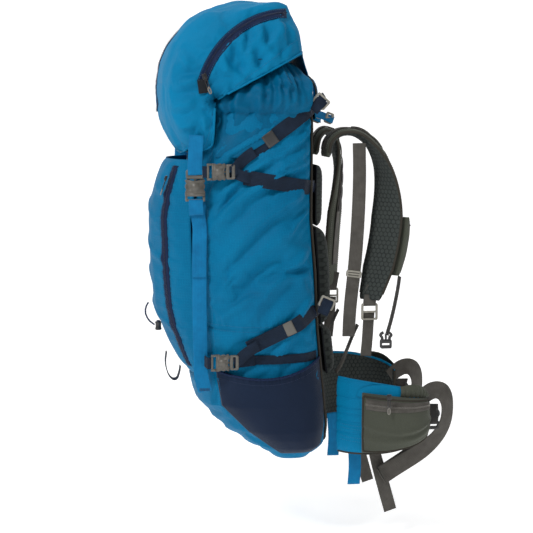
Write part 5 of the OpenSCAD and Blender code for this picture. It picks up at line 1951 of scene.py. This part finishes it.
# %% The belt's strap and tails
BELT_WEB = 38
for side, where in ((RIGHT, "right"), (LEFT, "left")):
    y = side * 112
    loop = [(206, y + side * 2, -640), (232, y, -622), (252, y, -624), (262, y, -645), (260, y, -678),
        (246, y, -706), (218, y, -732), (180, y, -755), (140, y, -778)]
    lean = np.array([[0.1, 0.0, 1], [0.0, 0.2, 1], [0.7, 0.5, 0.6], [1, 0.35, 0.1], [1, 0.2, -0.3],
        [0.8, 0.1, -0.7], [0.6, 0.05, -1], [0.6, -0.1, -1], [0.6, -0.2, -1]])
    strap = band("strap", loop, lean, np.interp(np.linspace(0, 1, 90), [0, 0.2, 1],
        [26, BELT_WEB * 0.9, BELT_WEB * 0.9]), WEB_THICK, GREY_WEBBING, 90)
    fold = [(204, y - side * 4.5, -738), (176, y - side * 4.5, -756), (146, y - side * 4.5, -775),
        (139, y - side * 3, -780), (139, y - side * 0.5, -780)]
    folded = band("fold", fold, [0.6, 0, -1], BELT_WEB * 0.88, WEB_THICK + 0.6, GREY_WEBBING)
    half = place(buckle_plug(BELT_WEB - 6, 40, ACETAL_DARK), (226, y + side * 6, -676), 90, side == LEFT)
    keeper = band("keeper", [(229, y + side * 1, -646), (228, y + side * 8, -662),
        (227, y + side * 9, -680)], [1, 0, 0.1], BELT_WEB * 0.8, 2.4, DARK_WEBBING)
    grey_tail = band("tail", [(124, y - side * 14, -712), (130, y - side * 14, -742),
        (143, y - side * 13, -790), (160, y - side * 14, -850)],
                     np.array([[1, 0.1, 0.1], [1, 0.3, 0.1], [1, -0.2, 0.15], [1, 0.1, 0.2]]), 24,
                         WEB_THICK, GREY_WEBBING)
    blue_tail = band("blue", [(88, y - side * 10, -708), (91, y - side * 10, -756),
        (89, y - side * 10, -796)], [1, 0.15, 0], 24, WEB_THICK, BLUE_WEBBING)
    made = join("belt_strap_" + where, [strap, folded, half, keeper, grey_tail, blue_tail])
    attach(made, "belt_" + where)
    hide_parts("belt_webbing_" + where)
print("belt straps")

# %% [markdown]
# A zip slider is a die-cast body with a bridge that holds a pull. A loop of cord on the pull makes it
# easy to grip with gloves.

# %% Zip sliders
def zip_slider(mat):
    parts = [block((-4.2, -1.5, -5), (4.2, 1.5, 5), mat, 1.1),
        block((-1.2, -3.0, -3.6), (1.2, -1.2, 3.6), mat, 0.7)]
    pull = ring([(x, z - 13) for x, z in rounded(5.4, 17, 2.2)],
        [(x, z - 13) for x, z in rounded(2.6, 12, 1.2)], 1.4, mat, 0.4)
    cord_line = [(0, 0, -19), (1.8, 0, -23), (1.6, 0, -29), (0, 0, -31), (-1.6, 0, -29), (-1.8, 0, -23),
        (0, 0, -19)]
    return join("slider", parts + [pull, tube("pull", cord_line, 1.1, GREY_THREAD, 8, 36)])


def put_slider(node_name, body, at, tilt, side, spin=0.0):
    made = zip_slider(ZINC)
    made.name = node_name + "_body"
    place(made, at, tilt, side == LEFT, spin)
    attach(made, body)
    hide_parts(node_name)


for side, where in ((RIGHT, "right"), (LEFT, "left")):
    t = math.radians(160)
    at = (ZIP_C[0] + ZIP_R * math.cos(t), side * 163.5, ZIP_C[1] + ZIP_R * math.sin(t))
    put_slider("lid_slider_" + where, "lid_slider_" + where, at, -20, side)
    front = pocket_point(FRONT_ZIP_Y, -228, 12.2)
    put_slider("front_slider_" + where, "front_slider_" + where,
        (float(front[0]), side * FRONT_ZIP_Y, -228), 19, RIGHT, -90)
    low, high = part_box("belt_slider_" + where)
    centre = (low + high) / 2 / MM
    put_slider("belt_slider_" + where, "belt_slider_" + where, (centre.x, centre.y, high.z / MM - 4), 0,
        side)
print("six zip sliders")

# %% [markdown]
# The cord lock is a short barrel with a sprung button. Both are turned shapes with rounded rims, and
# the barrel has a flared foot with a hole for the cord.

# %% The cord lock
def turned(name, profile, at, mat, steps=36):
    """A closed shape turned round Z from (radius, height) pairs."""
    verts = [(at[0] + r * math.cos(t), at[1] + r * math.sin(t), at[2] + h) for r, h in profile
             for t in np.linspace(0, 2 * math.pi, steps, endpoint=False)]
    work = bmesh.new()
    points = [work.verts.new(v) for v in verts]
    rows = len(profile)
    for i in range(rows - 1):
        for j in range(steps):
            a, b = i * steps + j, i * steps + (j + 1) % steps
            work.faces.new((points[a], points[b], points[b + steps], points[a + steps]))
    work.faces.new(points[:steps])
    work.faces.new(points[-steps:])
    made = from_work(name, work, mat, 0)
    return made


LOCK = (-262, 30, -512)
barrel = turned("cord_lock_shell", [(0.5, -8), (4.8, -8), (6.0, -7), (6.0, -4.5), (5.3, -3.5), (5.3, 4),
    (6.0, 5.2), (6.0, 7.2), (5.2, 8), (4.1, 8), (4.0, 7), (4.0, -4), (0.5, -4)], LOCK, ACETAL_DARK)
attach(barrel, "pack")
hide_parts("cord_lock_barrel")
button = turned("cord_lock_press", [(0.4, 2.5), (3.4, 2.5), (3.6, 3.2), (3.6, 9.3), (3.0, 10.3),
    (1.6, 10.5), (0.4, 10.5)], LOCK, NAVY_COIL)
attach(button, "cord_lock_button")
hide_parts("cord_lock_button")
print("cord lock")

# %% [markdown]
# The frame sheet and its two stays are hard parts whose CAD shape is right, so they stay and only get
# their finishes: black polyethylene and bare aluminium.

# %% Finishes for the frame
for node_name, mat in (("frame_sheet", SHEET_PLASTIC), ("frame_stays", STAY_METAL)):
    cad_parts[node_name].data.materials.clear()
    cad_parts[node_name].data.materials.append(mat)
print("frame finished")

# %% [markdown]
# Zip coils and stitches are the same small shape repeated along a line, which is what Geometry Nodes
# are for. The tree takes a curve, puts a point at every step along it and sets one shape on each
# point, turned along the curve and stood up from the cloth. The sizes are inputs of the tree, so one
# tree makes coils and stitches alike. Realize Instances makes them real mesh at the end.

# %% A node tree that repeats a shape along a line
def repeat_tree(name, shape):
    tree = bpy.data.node_groups.new(name, "GeometryNodeTree")
    face = tree.interface
    face.new_socket("Geometry", in_out="INPUT", socket_type="NodeSocketGeometry")
    inputs = {label: face.new_socket(label, in_out="INPUT", socket_type=kind)
              for label, kind in (("Step", "NodeSocketFloat"), ("Length", "NodeSocketFloat"),
                  ("Thickness", "NodeSocketFloat"),
                                  ("Turn", "NodeSocketFloat"), ("Material", "NodeSocketMaterial"))}
    face.new_socket("Geometry", in_out="OUTPUT", socket_type="NodeSocketGeometry")
    start = node(tree, "NodeGroupInput")
    given = {item.name: start.outputs[item.name] for item in face.items_tree if item.in_out == "INPUT"}
    points = node(tree, "GeometryNodeCurveToPoints", {"Curve": given["Geometry"], "Length": given["Step"]},
        mode="LENGTH")
    if shape == "stitch":
        half = node(tree, "ShaderNodeMath", {0: given["Length"], 1: 0.5}, operation="MULTIPLY")
        body = node(tree, "GeometryNodeMeshIcoSphere", {"Radius": half.outputs[0], "Subdivisions": 1})
        ratio = node(tree, "ShaderNodeMath", {0: given["Thickness"], 1: given["Length"]},
            operation="DIVIDE")
        slim = node(tree, "ShaderNodeCombineXYZ", {0: ratio.outputs[0], 1: ratio.outputs[0], 2: 1.0})
    else:
        body = node(tree, "GeometryNodeMeshCylinder",
            {"Vertices": 6, "Radius": given["Thickness"], "Depth": given["Length"]})
        slim = node(tree, "ShaderNodeCombineXYZ", {0: 1.0, 1: 1.0, 2: 1.0})
    shaped = node(tree, "GeometryNodeTransform", {"Geometry": body.outputs[0], "Scale": slim.outputs[0]})
    turned_by = node(tree, "FunctionNodeEulerToRotation")
    angle = node(tree, "ShaderNodeCombineXYZ", {0: given["Turn"], 1: 0.0, 2: 0.0})
    tree.links.new(angle.outputs[0], turned_by.inputs[0])
    facing = node(tree, "FunctionNodeRotateRotation",
        {0: points.outputs["Rotation"], 1: turned_by.outputs[0]},
                  rotation_space="LOCAL")
    placed = node(tree, "GeometryNodeInstanceOnPoints",
        {"Points": points.outputs["Points"], "Instance": shaped.outputs[0],
                                                         "Rotation": facing.outputs[0]})
    real = node(tree, "GeometryNodeRealizeInstances", {0: placed.outputs[0]})
    named = node(tree, "GeometryNodeSetMaterial",
        {"Geometry": real.outputs[0], "Material": given["Material"]})
    node(tree, "NodeGroupOutput", {0: named.outputs[0]})
    return tree, {label: item.identifier for label, item in inputs.items()}


STITCH_TREE = repeat_tree("Stitches along a seam", "stitch")
COIL_TREE = repeat_tree("Coil of a zip", "coil")
print("two node trees")

# %% [markdown]
# The tree works on a curve object. This function draws the lines as one curve, puts the tree on it,
# sets the tree's inputs by their identifiers, and turns what comes out into a plain mesh.

# %% Running the tree on seams
def along(name, lines, tree_and_ids, mat, step, length, thick, turn, body, slot_name):
    curve = bpy.data.curves.new(name + "_line", "CURVE")
    curve.dimensions = "3D"
    for line in lines:
        path = np.asarray(line, float)
        spline = curve.splines.new("POLY")
        spline.points.add(len(path) - 1)
        flat = np.concatenate([path * MM, np.ones((len(path), 1))], axis=1).ravel()
        spline.points.foreach_set("co", flat)
    seam = bpy.data.objects.new(name + "_line", curve)
    bpy.context.scene.collection.objects.link(seam)
    tree, ids = tree_and_ids
    repeat = seam.modifiers.new("Repeat", "NODES")
    repeat.node_group = tree
    for label, value in (("Step", step * MM), ("Length", length * MM), ("Thickness", thick * MM),
        ("Turn", turn), ("Material", mat)):
        repeat[ids[label]] = value
    bpy.context.view_layer.update()
    shaped = bpy.data.meshes.new_from_object(seam.evaluated_get(bpy.context.evaluated_depsgraph_get()))
    bpy.data.objects.remove(seam)
    shaped.shade_smooth()
    made = link(name, shaped, None)
    if not shaped.materials:
        shaped.materials.append(mat)
    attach(made, body)
    return made


def wrap_line(distance, low, high, lift, side):
    """A line up the settled wrap at that distance from the middle of the front, on one side."""
    rows = np.arange(WRAP_V)
    z = wrap[WRAP_U // 2, :, 2]
    pick = rows[(z > low) & (z < high)]
    out = []
    grid_n = grid_normals(wrap)
    for j in pick:
        column = around[:, j]
        i = int(np.argmin(np.abs(column - side * distance)))
        out.append(wrap[i, j] + grid_n[i, j] * lift)
    return smooth_line(out, max(4, len(out)))


print("seam tools ready")

# %% [markdown]
# A coil zip's teeth are turns of nylon across the tapes, 1.6 mm apart on a size 8 zip. Here they are
# drawn 2.2 mm apart, so that they still show at this size. The coils ride with the cloth they are
# sewn to.

# %% Coils of the zips
COIL_STEP, COIL_WIDTH, COIL_RADIUS = 2.2, 4.6, 0.62
across_line = math.pi / 2
along("lid_zip_coil", [lid_zip_line(s, ZIP_R, 1.7, count=200) for s in (RIGHT, LEFT)], COIL_TREE, NAVY_COIL,
    COIL_STEP, COIL_WIDTH, COIL_RADIUS, across_line, "lid", "zip_navy")
along("crown_zip_coil", [crown_zip_line], COIL_TREE, NAVY_COIL, COIL_STEP, COIL_WIDTH, COIL_RADIUS,
    across_line, "lid", "zip_navy")
along("front_zip_coil", [front_zip_line(s, 0, 1.7, 200) for s in (RIGHT, LEFT)], COIL_TREE, NAVY_COIL,
    COIL_STEP, COIL_WIDTH, COIL_RADIUS, across_line, "pack", "zip_navy")
for side, where in ((RIGHT, "right"), (LEFT, "left")):
    belt_coil = (pocket_outer[8:-8, 58] + pocket_normal[8:-8, 58] * 1.4) * (1, -side, 1)
    along("belt_zip_coil_" + where, [belt_coil], COIL_TREE, GREY_THREAD, COIL_STEP, 3.6, 0.5, across_line,
        "belt_" + where, "zip_navy")

# %% [markdown]
# Lock stitches hold every seam. On this pack they are about 3.5 mm long with a small gap. Two rows
# run beside the corner seam, one crosses the side below the puckers, and others follow the hems.

# %% Stitches
STITCH_STEP, STITCH_LENGTH, STITCH_THICK = 4.2, 3.0, 0.75
body_seams = []
for s in (1, -1):
    body_seams += [wrap_line(152, -730, -118, 0.3, s), wrap_line(140.5, -730, -118, 0.3, s)]
for side in (RIGHT, LEFT):
    for shift in (4.5, -4.5):
        body_seams.append(np.array([side_of_bag(x, -488 - 0.04 * (x + 140) + shift, side,
            0.3) for x in np.linspace(-192, -66, 60)]))
along("blue_seam_stitches", body_seams, STITCH_TREE, BLUE_THREAD, STITCH_STEP, STITCH_LENGTH, STITCH_THICK,
    0.0, "pack", "ripstop_blue")
pocket_seams = []
for side in (RIGHT, LEFT):
    hem = bottle_pocket_points(0.3)[:, -5]
    pocket_seams.append(hem if side == RIGHT else hem * (1, -1, 1))
for s in (1, -1):
    for offset in (11, -11):
        pocket_seams.append(front_zip_line(s, offset, 0.3, 120))
along("navy_seam_stitches", pocket_seams, STITCH_TREE, NAVY_THREAD, STITCH_STEP, STITCH_LENGTH,
    STITCH_THICK, 0.0, "pack", "navy_fabric")
lid_seams = [lid_zip_line(s, ZIP_R + w, 1.9, count=120) for s in (RIGHT, LEFT) for w in (-6.8, 6.8)]
lid_seams.append(lid_grid[5, 8:-8] + grid_normals(lid_grid)[5, 8:-8] * 0.3)
lid_seams.append(lid_grid[-6, 8:-8] + grid_normals(lid_grid)[-6, 8:-8] * 0.3)
along("lid_seam_stitches", lid_seams, STITCH_TREE, BLUE_THREAD, STITCH_STEP, STITCH_LENGTH, STITCH_THICK,
    0.0, "lid", "ripstop_blue")
for side, where in ((RIGHT, "right"), (LEFT, "left")):
    rows = []
    for height in (-648, -654, -667, -673, -687, -693):
        u = np.linspace(0.06, 0.34, 30)
        centre, normal, run, z = wing_frame(u,
            np.clip((height - mix(-716, -700, u)) / (mix(-592, -626, u * u) - mix(-716, -700, u)), 0, 1))
        rows.append((centre + normal * (WING_THICK / 2 + 0.2)) * (1, -side, 1))
    along("belt_stitches_" + where, rows[2:], STITCH_TREE, BLUE_THREAD, STITCH_STEP, STITCH_LENGTH,
        STITCH_THICK, 0.0, "belt_" + where, "ripstop_blue")
    line, across, normal, width = shoulder_lines[where]
    edges = [(line + across * (width * f)[:,
        None] - normal * (PAD_THICK / 2 * 0.92))[12:-14:3] for f in (0.41, -0.41)]
    along("shoulder_stitches_" + where, edges, STITCH_TREE, GREY_THREAD, STITCH_STEP, STITCH_LENGTH,
        STITCH_THICK, 0.0, "shoulder_" + where, "grey_webbing")

# %% [markdown]
# Where a strap carries a load it is sewn down with a bar tack: a short block of dense zigzag. Each is
# a row of the same stitches, set side by side across the webbing.

# %% Bar tacks
def bar_tack(at, direction, across, rows=7, spread=7.0):
    at, direction, across = np.array(at, float), unit(direction), unit(across)
    return [[at + across * (k - (rows - 1) / 2) * 1.0 - direction * spread / 2,
        at + across * (k - (rows - 1) / 2) * 1.0 + direction * spread / 2]
            for k in range(rows)]


tacks = []
for side in (RIGHT, LEFT):
    for x, z, dx, dz in ((-2, -107, 0.8, 0.6), (12, -246, 1, -0.15), (8, -466, 0.9, 0.4), (12, -545, 1, 0)):
        at = side_of_bag(x, z, side, 4.6)
        tacks += bar_tack(at, (-dz, 0, dx), (dx, 0, dz), 6, 14)
    tacks += bar_tack((-191, side * 144.5, -600), (1, 0, 0), (0, 0, 1), 6, 16)
along("bar_tacks", tacks, STITCH_TREE, NAVY_THREAD, 2.6, 2.4, 0.7, 0.0, "pack", "navy_webbing")
print("bar tacks made")

# %% [markdown]
# The last cell updates the scene and hands it over.

# %% The end
bpy.context.view_layer.update()
